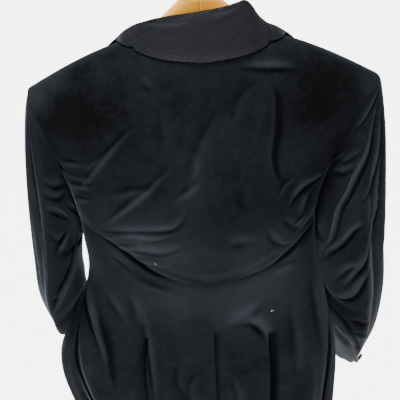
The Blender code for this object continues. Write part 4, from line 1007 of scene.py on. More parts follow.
def cloth_wall(name, outer, flip, wall, materials, free, shade=None):
    """A closed cloth wall under a grid of points, thinned and turned at its free edges."""
    near = free_edge(outer, free)
    normal = grid_normals(outer, flip)
    across, down = arc_lengths(outer)
    thickness = wall * (1 - (1 - EDGE_THIN) * near)
    skin = outer - normal * (EDGE_SINK * near)[..., None]
    under = outer - normal * (thickness + EDGE_SINK * near * 0.5)[..., None]
    rows, columns = outer.shape[:2]
    index = np.arange(rows * columns).reshape(rows, columns)
    quads = np.stack([index[:-1, :-1], index[1:, :-1], index[1:, 1:], index[:-1, 1:]], -1).reshape(-1, 4)
    if flip < 0:
        quads = quads[:, ::-1]
    count = rows * columns
    rim = np.concatenate([index[:, 0], index[-1, 1:], index[-2::-1, -1], index[0, -2:0:-1]])
    after = np.roll(rim, -1)
    band = np.stack([rim, rim + count, after + count, after], -1)
    if flip < 0:
        band = band[:, ::-1]
    faces = np.concatenate([quads, quads[:, ::-1] + count, band])
    mesh = bpy.data.meshes.new(name)
    mesh.from_pydata(np.concatenate([skin.reshape(-1, 3), under.reshape(-1, 3)]).tolist(), [], faces.tolist())
    for material in materials:
        mesh.materials.append(material)
    back_faces = len(quads)
    slots = np.zeros(len(faces), np.int32)
    slots[back_faces:2 * back_faces] = len(materials) - 1
    mesh.polygons.foreach_set("material_index", slots)
    mesh.polygons.foreach_set("use_smooth", np.ones(len(faces), bool))
    cloth_map = mesh.uv_layers.new(name="cloth")
    places = np.stack([across.ravel(), down.ravel()], -1)
    corners = np.zeros(len(mesh.loops), np.int32)
    mesh.loops.foreach_get("vertex_index", corners)
    cloth_map.data.foreach_set("uv", places[corners % count].astype(np.float32).ravel())
    on_rim = np.zeros(2 * count, bool)
    on_rim[rim] = True
    on_rim[rim + count] = True
    ends = np.zeros(2 * len(mesh.edges), np.int32)
    mesh.edges.foreach_get("vertices", ends)
    ends = ends.reshape(-1, 2)
    sharp = on_rim[ends].all(axis=1) & ((ends[:, 0] < count) == (ends[:, 1] < count))
    mesh.attributes.new("sharp_edge", "BOOLEAN", "EDGE").data.foreach_set("value", sharp)
    # shade is the light and shade painted into the colour, kept on the mesh for the materials to read
    if shade is not None:
        values = np.concatenate([shade.ravel(), shade.ravel()]).astype(np.float32)
        mesh.attributes.new("painted_shading", "FLOAT", "POINT").data.foreach_set("value", values)
    mesh.validate()
    mesh.update()
    piece = bpy.data.objects.new(name, mesh)
    bpy.context.collection.objects.link(piece)
    return piece


def declare(piece, node):
    """Attach a cloth piece to the body, and hide the solid that it stands for."""
    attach(piece, BODY)
    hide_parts(node)


def panel_grid(side, face, downs, start, stop, columns, sink=None):
    """The outer points of a panel of the body between two lines across it."""
    start = start - SEAM_LAP / panel_scale(side, face, start, downs)
    stop = stop + SEAM_LAP / panel_scale(side, face, stop, downs)
    share = np.linspace(0, 1, columns + 1)
    across = start[:, None] + (stop - start)[:, None] * share
    down = np.broadcast_to(downs[:, None], across.shape)
    place = body(side, face, across, down, fine=True)
    if sink:
        normal = outward(smooth_body, side, face, across, down)
        place = place - normal * sink(across, down)[..., None]
    return place


def panel_scale(side, face, across, down):
    """How many metres one unit across is, at places of the body."""
    move = body(side, face, across + 0.01, down) - body(side, face, across, down)
    return np.maximum(np.linalg.norm(move, axis=-1), 1e-6) / 0.01


def rows_between(first, last):
    """The shared heights of the body's rows that lie between two of them."""
    rows = stations(SHOULDER_START, BODY_STRETCHES)
    return rows[(rows > first - STEP) & (rows < last + STEP)]


def seam_sink(place, free):
    """How far the cloth sinks into the seams at the two sides of a grid, where they aren't free."""
    across, _ = arc_lengths(place)
    start = bump(across, SEAM_WIDTH) * (1 - free.get("start", 0))
    stop = bump(across[:, -1:] - across, SEAM_WIDTH) * (1 - free.get("stop", 0))
    return (start + stop) * SEAM_SINK


def panel_piece(kind, side, face, place, free, dark=0.0):
    """A velvet panel of the body as a finished piece. dark is painted shade: it lowers the shade painted into
    its pile.
    """
    name = f"{kind}_{side_name(side)}"
    place = place - grid_normals(place, side) * seam_sink(place, free)[..., None]
    # Painted sheen and darker patches, painted light on crests and painted shade in troughs, less the painted
    # shade of a pleat
    shade = sheen_and_dark_patch_shade(face, place) + crease_light_and_shade(body_creases(face, place[..., 0], place[..., 2])) - dark
    materials = [velvet_material(), wrong_side_material()]
    piece = cloth_wall(f"velvet_{name}", place, side, WALL, materials, free, shade)
    declare(piece, name)


def below_waist(downs):
    """0 above the waist seam and 1 below it, for each row of a grid."""
    return smooth(WAIST - 0.005, WAIST + 0.010, downs)[:, None]


def make_back(side):
    """The back, cut in one with the centre part of the tail. The right vent lies under the left."""
    downs = rows_between(0, TAIL_END)
    under = side == RIGHT
    centre = -VENT_UNDERLAP * smooth(WAIST, WAIST + VENT_OPENS, downs) * under

    def sink(across, down):
        inward = VENT_DEPTH * smooth(WAIST + VENT_SINKS[0], WAIST + VENT_SINKS[1], down)
        lap = under * inward * (1 - smooth(*VENT_STEP, across))
        lip = PLEAT_LIP[side] * smooth(WAIST - 0.02, WAIST + 0.05, down)
        return lap - lip * smooth(back_seam(down) - PLEAT_LIP_WIDTH, back_seam(down), across)

    place = panel_grid(side, BACK, downs, centre, back_seam(downs), PIECE_COLUMNS["back"], sink)
    free = {"start": below_waist(downs), "stop": below_waist(downs), "hem": 1}
    panel_piece("back", side, BACK, place, free)


def make_side_body(side):
    """The side body, from a point at the armhole to the waist seam."""
    downs = rows_between(SIDE_BODY_START, WAIST)
    columns = PIECE_COLUMNS["side_body"]
    place = panel_grid(side, BACK, downs, back_seam(downs), side_seam(side, downs), columns)
    panel_piece("side_body", side, BACK, place, {})


def make_forepart(side):
    """The forepart, from the shoulder to its free hem below the waist."""
    downs = rows_between(0, FLAP_END)
    columns = PIECE_COLUMNS["forepart"]
    place = panel_grid(side, FRONT, downs, side_seam(side, downs), front_edge(downs), columns)
    free = {"start": below_waist(downs), "stop": 1, "hem": 1}
    panel_piece("forepart", side, FRONT, place, free)


def make_skirt(side):
    """The side part of the tail. It tucks under the back's pleat and under the forepart's hem."""
    downs = rows_between(WAIST, TAIL_END)
    downs[0] -= SEAM_LAP

    def sink(across, down):
        seam = back_seam(down)
        side_line = side_seam(side, down)
        open_ = SEWN_SHARE + (1 - SEWN_SHARE) * smooth(WAIST, WAIST + SEWN_LENGTH, down)
        under_back = 1 - smooth(seam, seam + PLEAT_WIDTH * open_, across)
        under_flap = smooth(side_line - FLAP_WIDTH[0] * open_, side_line - FLAP_WIDTH[1] * open_, across)
        under_flap = under_flap * (1 - smooth(FLAP_END + FLAP_FREE[0], FLAP_END + FLAP_FREE[1], down))
        return (LAYER_GAP + WALL) * np.maximum(under_back, under_flap)

    edge = ramp(SKIRT_EDGE, "down", "across", downs)
    place = panel_grid(side, BACK, downs, back_seam(downs) - UNDERLAP, edge, PIECE_COLUMNS["skirt"], sink)
    free = {"start": 1, "stop": 1, "hem": 1}
    seam = back_seam(downs)
    share = np.linspace(0, 1, place.shape[1])
    across = (seam - UNDERLAP)[:, None] + (edge - seam + UNDERLAP)[:, None] * share
    # Painted shade in the depth of the pleat, beside the back's seam
    dark = PLEAT_PAINTED_SHADE[side] * (1 - smooth(seam[:, None], seam[:, None] + PLEAT_PAINTED_SHADE_WIDTH[side], across))
    panel_piece("skirt", side, BACK, place, free, dark)


def make_sleeve_piece(kind, side, start, stop):
    """One of a sleeve's two pieces, between its seams."""
    alongs = stations(0, SLEEVE_STRETCHES)
    shares = np.linspace(0, 1, PIECE_COLUMNS[kind] + 1)
    seam = np.full_like(alongs, HIND_SEAM)
    move = smooth_sleeve(side, seam + ROUND_STEP, alongs) - smooth_sleeve(side, seam, alongs)
    lap = (SEAM_LAP * ROUND_STEP / np.linalg.norm(move, axis=-1))[:, None]
    share = start - lap + (stop - start + 2 * lap) * shares
    along = np.broadcast_to(alongs[:, None], share.shape)
    place = sleeve(side, share, along, fine=True)
    flip = -side
    free = {"hem": 1}
    place = place - grid_normals(place, flip) * seam_sink(place, free)[..., None]
    name = f"{kind}_{side_name(side)}"
    materials = [velvet_material(), wrong_side_material()]
    # The painted lightness of the whole sleeve, with painted light on crests and painted shade in troughs
    shade = SLEEVE_SHADE[side] + crease_light_and_shade(sleeve_creases(side, turn_of(share), along))
    piece = cloth_wall(f"velvet_{name}", place, flip, WALL, materials, free, shade)
    declare(piece, name)


def make_collar(side):
    """One half of the shawl collar, from the centre back seam to its end at the waist."""
    along, row = np.meshgrid(stations(COLLAR_START, COLLAR_COLUMNS), stations(0, COLLAR_ROWS), indexing="ij")
    place = collar_point(side, along, row)
    flip = -side
    normal = grid_normals(place, flip)
    scale_along, scale_row = COLLAR_SCALE
    rows = []
    for crease in COLLAR_CREASES[side]:
        rows.append(dict(crease, line=[(a * scale_along, b * scale_row) for a, b in crease["line"]]))
    raised = crease_height(rows, along * scale_along, row * scale_row) * cloth_settings().crease_depth
    ends = smooth(0.0, 0.02, along) * (1 - smooth(0.97, 1.0, along)) * smooth(1.0, 1.1, row)
    place = place + normal * (raised * ends)[..., None]
    silk = silk_material()
    free = {"stop": 1, "hem": 1}
    # Painted light on the creases' crests, and painted shade along the roll
    shade = crease_light_and_shade(raised) * 0.5 - ROLL_PAINTED_SHADE * bump(row - ROLL_PAINTED_SHADE_ROW, ROLL_PAINTED_SHADE_WIDTH)
    piece = cloth_wall(f"silk_collar_{side_name(side)}", place, flip, COLLAR_WALL, [silk, silk], free, shade)
    declare(piece, f"collar_{side_name(side)}")


def deselect_all():
    if bpy.context.object and bpy.context.object.mode != "OBJECT":
        bpy.ops.object.mode_set(mode="OBJECT")
    bpy.ops.object.select_all(action="DESELECT")


def select_only(thing):
    deselect_all()
    thing.select_set(True)
    bpy.context.view_layer.objects.active = thing


def button_form(radius):
    """A covered button, round and domed, with a rim where its silk is gathered under it."""
    deselect_all()
    bpy.ops.mesh.primitive_cylinder_add(vertices=BUTTON_SIDES, radius=radius, depth=BUTTON_HEIGHT)
    button = bpy.context.object
    bpy.ops.object.mode_set(mode="EDIT")
    bpy.ops.mesh.select_mode(type="FACE")
    bpy.ops.mesh.select_all(action="DESELECT")
    bpy.ops.object.mode_set(mode="OBJECT")
    for face in button.data.polygons:
        face.select = face.normal.z > 0.9
    bpy.ops.object.mode_set(mode="EDIT")
    bpy.ops.mesh.inset(thickness=radius * 0.18)
    bpy.ops.transform.translate(value=(0, 0, BUTTON_HEIGHT * 0.10))
    bpy.ops.mesh.inset(thickness=radius * 0.30)
    bpy.ops.transform.translate(value=(0, 0, BUTTON_HEIGHT * 0.08))
    bpy.ops.mesh.inset(thickness=radius * 0.30)
    bpy.ops.transform.translate(value=(0, 0, BUTTON_HEIGHT * 0.03))
    bpy.ops.object.mode_set(mode="OBJECT")
    edge = button.modifiers.new("soft edge", "BEVEL")
    edge.width = BUTTON_HEIGHT * 0.28
    edge.segments = 3
    bpy.ops.object.modifier_apply(modifier=edge.name)
    for face in button.data.polygons:
        face.use_smooth = True
    return button


def place_button(form, name, node, place, normal):
    """A copy of a button, standing just off the cloth."""
    mesh = form.data.copy()
    button = bpy.data.objects.new(name, mesh)
    bpy.context.collection.objects.link(button)
    turn = Vector(normal).to_track_quat("Z", "Y").to_matrix().to_4x4()
    spot = Vector(place) + Vector(normal) * (BUTTON_HEIGHT / 2 + BUTTON_GAP)
    mesh.transform(Matrix.Translation(spot) @ turn)
    mesh.materials.clear()
    mesh.materials.append(button_material())
    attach(button, BODY)
    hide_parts(node)


def make_buttons(side):
    """The forepart's three buttons and the cuff's two."""
    large = button_form(FRONT_BUTTON_RADIUS)
    for k, row in enumerate(FRONT_BUTTONS, 1):
        across = np.array([row["across"]])
        down = np.array([row["down"]])
        place = body(side, FRONT, across, down)[0]
        normal = outward(body, side, FRONT, across, down)[0]
        node = f"front_button_{side_name(side)}_{k}"
        place_button(large, f"covered_{node}", node, place, normal)
    small = button_form(CUFF_BUTTON_RADIUS)
    for k, along in enumerate(CUFF_BUTTONS, 1):
        share = np.array([CUFF_BUTTON_ROUND[side]])
        spot = np.array([along])
        place = sleeve(side, share, spot)[0]
        normal = sleeve_outward(sleeve, side, share, spot)[0]
        node = f"cuff_button_{side_name(side)}_{k}"
        place_button(small, f"covered_{node}", node, place, normal)
    for form in (large, small):
        bpy.data.objects.remove(form)


def make_arm(side):
    """One wooden half of the hanger: the solid's form, made smooth and rounded."""
    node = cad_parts[f"hanger_arm_{side_name(side)}"]
    mesh = node.data.copy()
    arm = bpy.data.objects.new(f"wood_arm_{side_name(side)}", mesh)
    bpy.context.collection.objects.link(arm)
    select_only(arm)
    bpy.ops.object.mode_set(mode="EDIT")
    bpy.ops.mesh.select_all(action="SELECT")
    bpy.ops.mesh.remove_doubles(threshold=0.00002)
    bpy.ops.mesh.tris_convert_to_quads(face_threshold=1.2, shape_threshold=1.2)
    bpy.ops.object.mode_set(mode="OBJECT")
    ends = [edge for edge in mesh.edges if all(abs(mesh.vertices[v].co.x) < ARM_END_X for v in edge.vertices)]
    for vertex in mesh.vertices:
        if abs(vertex.co.x) < ARM_END_X:
            vertex.co.x = side * ARM_JOINT_X
    crease = mesh.attributes.new("crease_edge", "FLOAT", "EDGE")
    for edge in ends:
        crease.data[edge.index].value = 1.0
    rounding = arm.modifiers.new("rounding", "SUBSURF")
    rounding.levels = 2
    rounding.render_levels = 2
    bpy.ops.object.modifier_apply(modifier=rounding.name)
    for face in arm.data.polygons:
        face.use_smooth = True
    arm.data.materials.clear()
    arm.data.materials.append(wood_material())
    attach(arm, BODY)
    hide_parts(node.name)


def make_hook():
    """The wire hook: a stem up from the wood, and a round bend that hangs over the rail."""
    centre_z = -HOOK_RADIUS + WIRE_RADIUS
    stem_top = centre_z - HOOK_RADIUS - HOOK_NECK
    route = [(0, 0, HOOK_FOOT_Z), (0, 0, HOOK_FOOT_Z + HOOK_NECK), (0, 0, stem_top)]
    for turn in np.radians(np.linspace(HOOK_START_ANGLE, HOOK_END_ANGLE, HOOK_STEPS)):
        route.append((HOOK_RADIUS * math.sin(turn), 0, centre_z + HOOK_RADIUS * math.cos(turn)))
    deselect_all()
    bpy.ops.curve.primitive_nurbs_path_add()
    wire = bpy.context.object
    wire.name = "wire_hook"
    wire.data.splines.clear()
    spline = wire.data.splines.new("POLY")
    spline.points.add(len(route) - 1)
    for spot, place in zip(spline.points, route):
        spot.co = (*place, 1)
    wire.data.bevel_depth = WIRE_RADIUS
    wire.data.bevel_resolution = WIRE_SIDES // 4
    wire.data.use_fill_caps = True
    bpy.ops.object.convert(target="MESH")
    wire = bpy.context.object
    bpy.ops.object.mode_set(mode="EDIT")
    bpy.ops.mesh.select_all(action="SELECT")
    bpy.ops.mesh.remove_doubles(threshold=0.00001)
    bpy.ops.object.mode_set(mode="OBJECT")
    bpy.ops.object.shade_smooth_by_angle(angle=math.radians(50))
    wire.data.materials.clear()
    wire.data.materials.append(steel_material())
    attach(wire, BODY)
    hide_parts("hanger_hook")


def surface_spot(side, x, z):
    """The place on the back that lies at x and z, and the direction out of it there."""
    across, down = np.meshgrid(np.linspace(0.0, 0.9, 181), np.linspace(0.1, 1.5, 281), indexing="ij")
    place = body(side, BACK, across, down)
    k = np.argmin((place[..., 0] - x) ** 2 + (place[..., 2] - z) ** 2)
    across, down = across.ravel()[k:k + 1], down.ravel()[k:k + 1]
    return body(side, BACK, across, down, fine=True)[0], outward(body, side, BACK, across, down)[0]


def make_lint():
    """Small white fibres that lie curled on the pile."""
    for number, spot in enumerate(LINT, 1):
        place, normal = surface_spot(spot["side"], spot["x"], spot["z"])
        curve = bpy.data.curves.new(f"fibre_{number}", "CURVE")
        curve.dimensions = "3D"
        curve.bevel_depth = LINT_RADIUS
        curve.bevel_resolution = 1
        curve.use_fill_caps = True
        along = Vector((math.cos(math.radians(spot["turn"])), 0, math.sin(math.radians(spot["turn"]))))
        over = Vector(normal)
        aside = along.cross(over)
        for strand in range(LINT_STRANDS):
            spline = curve.splines.new("POLY")
            spline.points.add(6)
            for k, point in enumerate(spline.points):
                t = k / 6 - 0.5
                bow = math.sin(math.pi * (t + 0.5)) * (0.25 + 0.1 * strand)
                step = along * t + aside * bow * (strand - 1) * 0.6
                lift = over * (0.0006 + 0.0003 * bow)
                point.co = (*(Vector(place) + step * spot["length"] + lift), 1)
                point.radius = 1 - abs(t) * 1.2
        fibre = bpy.data.objects.new(f"lint_{number}", curve)
        bpy.context.collection.objects.link(fibre)
        select_only(fibre)
        bpy.ops.object.convert(target="MESH")
        fibre = bpy.context.object
        fibre.data.materials.clear()
        fibre.data.materials.append(lint_material())
        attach(fibre, BODY)


def new_material(name):
    """A material with its nodes, its links and its shader, or without them where it is made already."""
    material = bpy.data.materials.get(name)
    if material:
        return material, None, None, None
    material = bpy.data.materials.new(name)
    material.use_nodes = True
    nodes = material.node_tree.nodes
    return material, nodes, material.node_tree.links, nodes["Principled BSDF"]


def noise(nodes, links, vector, scale, detail=3.0, roughness=0.5):
    """A noise texture on a vector."""
    texture = nodes.new("ShaderNodeTexNoise")
    texture.inputs["Scale"].default_value = scale
    texture.inputs["Detail"].default_value = detail
    texture.inputs["Roughness"].default_value = roughness
    links.new(vector, texture.inputs["Vector"])
    return texture.outputs["Fac"]


def math_node(nodes, links, operation, first, second=None, clamp=False):
    """One arithmetic step on one or two values, each a socket or a number."""
    node = nodes.new("ShaderNodeMath")
    node.operation = operation
    node.use_clamp = clamp
    for socket, value in zip(node.inputs, (first, second)):
        if value is None:
            continue
        if isinstance(value, (int, float)):
            socket.default_value = value
        else:
            links.new(value, socket)
    return node.outputs[0]


def spread(nodes, links, value, low, high, new_low, new_high):
    """A value mapped from one range to another."""
    node = nodes.new("ShaderNodeMapRange")
    node.inputs["From Min"].default_value = low
    node.inputs["From Max"].default_value = high
    node.inputs["To Min"].default_value = new_low
    node.inputs["To Max"].default_value = new_high
    links.new(value, node.inputs["Value"])
    return node.outputs["Result"]


def mix_colours(nodes, links, factor, first, second):
    """Two colours mixed by a factor."""
    node = nodes.new("ShaderNodeMix")
    node.data_type = "RGBA"
    links.new(factor, node.inputs["Factor"])
    for socket, value in ((node.inputs["A"], first), (node.inputs["B"], second)):
        if hasattr(value, "links"):
            links.new(value, socket)
        else:
            socket.default_value = (*value[:3], 1)
    return node.outputs["Result"]


def bump_node(nodes, links, height, strength, distance, before=None):
    """A bump from a height, over another bump if one is given."""
    node = nodes.new("ShaderNodeBump")
    node.inputs["Strength"].default_value = strength
    node.inputs["Distance"].default_value = distance
    links.new(height, node.inputs["Height"])
    if before:
        links.new(before, node.inputs["Normal"])
    return node.outputs["Normal"]


def mapping(nodes, links, vector, scale):
    """A vector stretched along its axes."""
    node = nodes.new("ShaderNodeMapping")
    node.inputs["Scale"].default_value = scale
    links.new(vector, node.inputs["Vector"])
    return node.outputs["Vector"]


def velvet_material():
    """Black cotton velvet: a deep pile with random mottle, painted sheen and painted shade in its colour, and
    a soft cool sheen from the shader.
    """
    material, nodes, links, shader = new_material("black velvet")
    if not nodes:
        return material
    colours = colour_settings()
    place = nodes.new("ShaderNodeTexCoord").outputs["Object"]
    painted_shading = nodes.new("ShaderNodeAttribute")
    painted_shading.attribute_name = "painted_shading"
    broad = noise(nodes, links, place, 16, 4, 0.6)
    mottle = noise(nodes, links, place, 110, 4, 0.65)
    # The colour's share: painted light and shade from the mesh, with broad and fine random mottle
    shade = math_node(nodes, links, "MULTIPLY", painted_shading.outputs["Fac"], 0.55)
    shade = math_node(nodes, links, "ADD", shade, spread(nodes, links, broad, 0.3, 0.7, 0.11, 0.33))
    fine = spread(nodes, links, mottle, 0.3, 0.7, -0.07, 0.07)
    shade = math_node(nodes, links, "ADD", shade, fine, clamp=True)
    base = mix_colours(nodes, links, shade, colours.velvet_dark, colours.velvet_light)
    links.new(base, shader.inputs["Base Color"])
    links.new(spread(nodes, links, shade, 0, 1, 0.95, 0.70), shader.inputs["Roughness"])
    crush = bump_node(nodes, links, noise(nodes, links, place, 150, 3, 0.6), 0.30, 0.0012)
    pile = bump_node(nodes, links, noise(nodes, links, place, 1500, 2, 0.5), 0.35, 0.0004, crush)
    links.new(pile, shader.inputs["Normal"])
    shader.inputs["Specular IOR Level"].default_value = 0.02
    shader.inputs["Sheen Weight"].default_value = colours.sheen
    shader.inputs["Sheen Roughness"].default_value = 0.35
    shader.inputs["Sheen Tint"].default_value = (*colours.sheen_tint, 1)
    return material


def wrong_side_material():
    """The wrong side of the cloth: plain dull black weave."""
    material, nodes, links, shader = new_material("wrong side of velvet")
    if not nodes:
        return material
    place = nodes.new("ShaderNodeTexCoord").outputs["UV"]
    weave = nodes.new("ShaderNodeTexWave")
    weave.inputs["Scale"].default_value = 160
    weave.inputs["Distortion"].default_value = 0.4
    links.new(place, weave.inputs["Vector"])
    patch = noise(nodes, links, place, 30, 3)
    base = mix_colours(nodes, links, patch, (0.010, 0.010, 0.012), (0.020, 0.020, 0.024))
    links.new(base, shader.inputs["Base Color"])
    links.new(spread(nodes, links, patch, 0, 1, 0.65, 0.85), shader.inputs["Roughness"])
    links.new(bump_node(nodes, links, weave.outputs["Fac"], 0.3, 0.0002), shader.inputs["Normal"])
    shader.inputs["Specular IOR Level"].default_value = 0.30
    return material


def silk_material():
    """Ribbed silk: fine ribs that run along the collar. Its colour has painted light on the ribs, painted
    streaks of light between them, and painted light and shade from the mesh.
    """
    material, nodes, links, shader = new_material("ribbed silk")
    if not nodes:
        return material
    colours = colour_settings()
    cloth = nodes.new("ShaderNodeTexCoord").outputs["UV"]
    split = nodes.new("ShaderNodeSeparateXYZ")
    links.new(cloth, split.inputs["Vector"])
    wander = noise(nodes, links, mapping(nodes, links, cloth, (40, 8, 1)), 6, 2)
    spot = math_node(nodes, links, "ADD", split.outputs["X"], spread(nodes, links, wander, 0, 1, 0, 0.0006))
    phase = math_node(nodes, links, "MULTIPLY", spot, 2 * math.pi / colours.rib_pitch)
    rib = math_node(nodes, links, "SINE", phase)
    streak = noise(nodes, links, mapping(nodes, links, cloth, (520, 18, 1)), 1.0, 4)
    painted_shading = nodes.new("ShaderNodeAttribute")
    painted_shading.attribute_name = "painted_shading"
    # Painted light: the ribs' crests and the streaks are painted lighter
    lit = spread(nodes, links, rib, -1, 1, 0.0, 0.50)
    lit = math_node(nodes, links, "ADD", lit, spread(nodes, links, streak, 0.3, 0.7, 0.0, 0.50))
    lit = math_node(nodes, links, "ADD", lit, painted_shading.outputs["Fac"], clamp=True)
    # The two ends of the silk's painted shade and painted light
    dark = tuple(value * 0.25 for value in colours.silk)
    light = tuple(min(value * 1.9, 1) for value in colours.silk)
    links.new(mix_colours(nodes, links, lit, dark, light), shader.inputs["Base Color"])
    links.new(spread(nodes, links, streak, 0.3, 0.7, 0.42, 0.62), shader.inputs["Roughness"])
    slack = bump_node(nodes, links, noise(nodes, links, cloth, 120, 2), 0.20, 0.0010)
    ribbed = bump_node(nodes, links, rib, 0.6, 0.00030, slack)
    links.new(ribbed, shader.inputs["Normal"])
    shader.inputs["Specular IOR Level"].default_value = 0.05
    shader.inputs["Sheen Weight"].default_value = 0.01
    shader.inputs["Sheen Roughness"].default_value = 0.4
    shader.inputs["Sheen Tint"].default_value = (0.60, 0.66, 0.80, 1)
    return material


def button_material():
    """The silk over a button, drawn tight."""
    material, nodes, links, shader = new_material("button silk")
    if not nodes:
        return material
    colours = colour_settings()
    place = nodes.new("ShaderNodeTexCoord").outputs["Object"]
    grain = noise(nodes, links, place, 1200, 2)
    dark = tuple(value * 0.4 for value in colours.silk)
    links.new(mix_colours(nodes, links, grain, dark, colours.silk), shader.inputs["Base Color"])
    links.new(spread(nodes, links, grain, 0, 1, 0.35, 0.55), shader.inputs["Roughness"])
    links.new(bump_node(nodes, links, grain, 0.3, 0.0002), shader.inputs["Normal"])
    return material


def wood_material():
    """Clear varnished light wood with its grain along the arms."""
    material, nodes, links, shader = new_material("varnished wood")
    if not nodes:
        return material
    colours = colour_settings()
    place = nodes.new("ShaderNodeTexCoord").outputs["Object"]
    long_grain = mapping(nodes, links, place, (6, 60, 60))
    rings = noise(nodes, links, long_grain, 3.0, 4, 0.55)
    fine = noise(nodes, links, mapping(nodes, links, place, (40, 900, 900)), 1.0, 3)
    share = math_node(nodes, links, "ADD", spread(nodes, links, rings, 0.35, 0.65, 0, 0.75),
                      spread(nodes, links, fine, 0.3, 0.7, 0, 0.25), clamp=True)
    dark = (colours.wood[0] * 0.72, colours.wood[1] * 0.60, colours.wood[2] * 0.50)
    links.new(mix_colours(nodes, links, share, colours.wood, dark), shader.inputs["Base Color"])
    links.new(spread(nodes, links, fine, 0.3, 0.7, 0.28, 0.42), shader.inputs["Roughness"])
    links.new(bump_node(nodes, links, fine, 0.15, 0.0002), shader.inputs["Normal"])
    shader.inputs["Coat Weight"].default_value = 0.25
    shader.inputs["Coat Roughness"].default_value = 0.12
    return material


def steel_material():
    """Bright plated wire, slightly brushed."""
    material, nodes, links, shader = new_material("plated wire")
    if not nodes:
        return material
    place = nodes.new("ShaderNodeTexCoord").outputs["Object"]
    wear = noise(nodes, links, place, 300, 3)
    bright = mix_colours(nodes, links, wear, (0.62, 0.62, 0.63), (0.78, 0.78, 0.78))
    links.new(bright, shader.inputs["Base Color"])
    links.new(spread(nodes, links, wear, 0.3, 0.7, 0.16, 0.32), shader.inputs["Roughness"])
    shader.inputs["Metallic"].default_value = 1.0
    return material


def lint_material():
    """Dull white fibre."""
    material, nodes, links, shader = new_material("lint")
    if not nodes:
        return material
    place = nodes.new("ShaderNodeTexCoord").outputs["Object"]
    fuzz = noise(nodes, links, place, 2000, 2)
    pale = mix_colours(nodes, links, fuzz, (0.14, 0.14, 0.14), (0.26, 0.26, 0.25))
    links.new(pale, shader.inputs["Base Color"])
    shader.inputs["Roughness"].default_value = 0.9
    return material


def floor_material():
    """A plain pale floor."""
    material, nodes, links, shader = new_material("pale floor")
    if not nodes:
        return material
    place = nodes.new("ShaderNodeTexCoord").outputs["Object"]
    cloud = noise(nodes, links, place, 0.6, 2)
    pale = stage_settings().floor_colour
    dim = tuple(value * 0.97 for value in pale)
    links.new(mix_colours(nodes, links, cloud, dim, pale), shader.inputs["Base Color"])
    shader.inputs["Roughness"].default_value = 0.9
    return material


def make_floor():
    """A wide plain floor under the tails."""
    stage = stage_settings()
    deselect_all()
    bpy.ops.mesh.primitive_plane_add(size=stage.floor_size, location=(0, 0, stage.floor_height))
    floor = bpy.context.object
    floor.name = "floor"
    floor.data.materials.append(floor_material())


def make_light(name, place, strength, softness):
    """A broad soft light that shines the same way everywhere, along the line from a place to the origin."""
    bpy.ops.object.light_add(type="SUN", location=place)
    lamp = bpy.context.object
    lamp.name = name
    lamp.data.energy = strength
    lamp.data.angle = softness
    lamp.rotation_euler = (-Vector(place)).to_track_quat("-Z", "Y").to_euler()


def make_world():
    """Even pale light from all round."""
    world = bpy.data.worlds.new("studio")
    world.use_nodes = True
    sky = world.node_tree.nodes["Background"]
    sky.inputs["Color"].default_value = (1.0, 1.0, 1.0, 1)
    sky.inputs["Strength"].default_value = stage_settings().sky_strength
    bpy.context.scene.world = world


def make_camera():
    """The camera at the photo's angle, behind and above the coat, turned slightly."""
    stage = stage_settings()
    rise = stage.elevation
    back = Vector((0, math.cos(rise), math.sin(rise)))
    right = Vector((-1, 0, 0))
    up = back.cross(right)
    right_turned = right * math.cos(stage.roll) - up * math.sin(stage.roll)
    up_turned = right * math.sin(stage.roll) + up * math.cos(stage.roll)
    eye = Vector(stage.target) + back * stage.distance
    bpy.ops.object.camera_add()
    camera = bpy.context.object
    turn = Matrix((right_turned, up_turned, back)).transposed().to_4x4()
    camera.matrix_world = Matrix.Translation(eye) @ turn
    camera.data.lens = stage.focal
    camera.data.sensor_width = 36
    camera.data.shift_x = stage.shift
    camera.data.clip_end = 100
    bpy.context.scene.camera = camera


class TailcoatCloth(bpy.types.PropertyGroup):
    """Sizes of the cloth's fine form."""
    crease_depth: bpy.props.FloatProperty(
        name="Crease depth", description="How deep the creases are, as a share of their own heights",
        default=1.35, min=0.0, max=2.0)


class TailcoatColours(bpy.types.PropertyGroup):
    """Colours and finishes of the coat and the hanger."""
    # The dark end of the velvet's colour: painted shade and the darker mottle
    velvet_dark: bpy.props.FloatVectorProperty(
        name="Velvet, painted shade and dark mottle", description="Colour at the dark end of painted shade and mottle",
        default=(0.0006, 0.0007, 0.0009), subtype="COLOR", min=0.0, max=1.0)
    # The light end of the velvet's colour: painted light and sheen, and the lighter mottle
    velvet_light: bpy.props.FloatVectorProperty(
        name="Velvet, painted light and light mottle", description="Colour at the light end of painted light and mottle",
        default=(0.0088, 0.0102, 0.0128), subtype="COLOR", min=0.0, max=1.0)
    sheen: bpy.props.FloatProperty(
        name="Sheen", description="How strong the pile's sheen is",
        default=0.06, min=0.0, max=1.0)
    sheen_tint: bpy.props.FloatVectorProperty(
        name="Sheen tint", description="Colour of the pile's sheen",
        default=(0.55, 0.64, 0.76), subtype="COLOR", min=0.0, max=1.0)
    silk: bpy.props.FloatVectorProperty(
        name="Silk", description="Colour of the ribbed silk",
        default=(0.0026, 0.0029, 0.0039), subtype="COLOR", min=0.0, max=1.0)
    rib_pitch: bpy.props.FloatProperty(
        name="Rib pitch", description="From one rib of the silk to the next",
        default=0.0024, unit="LENGTH", min=0.0005)
    wood: bpy.props.FloatVectorProperty(
        name="Wood", description="Colour of the hanger's wood",
        default=(0.46, 0.21, 0.008), subtype="COLOR", min=0.0, max=1.0)


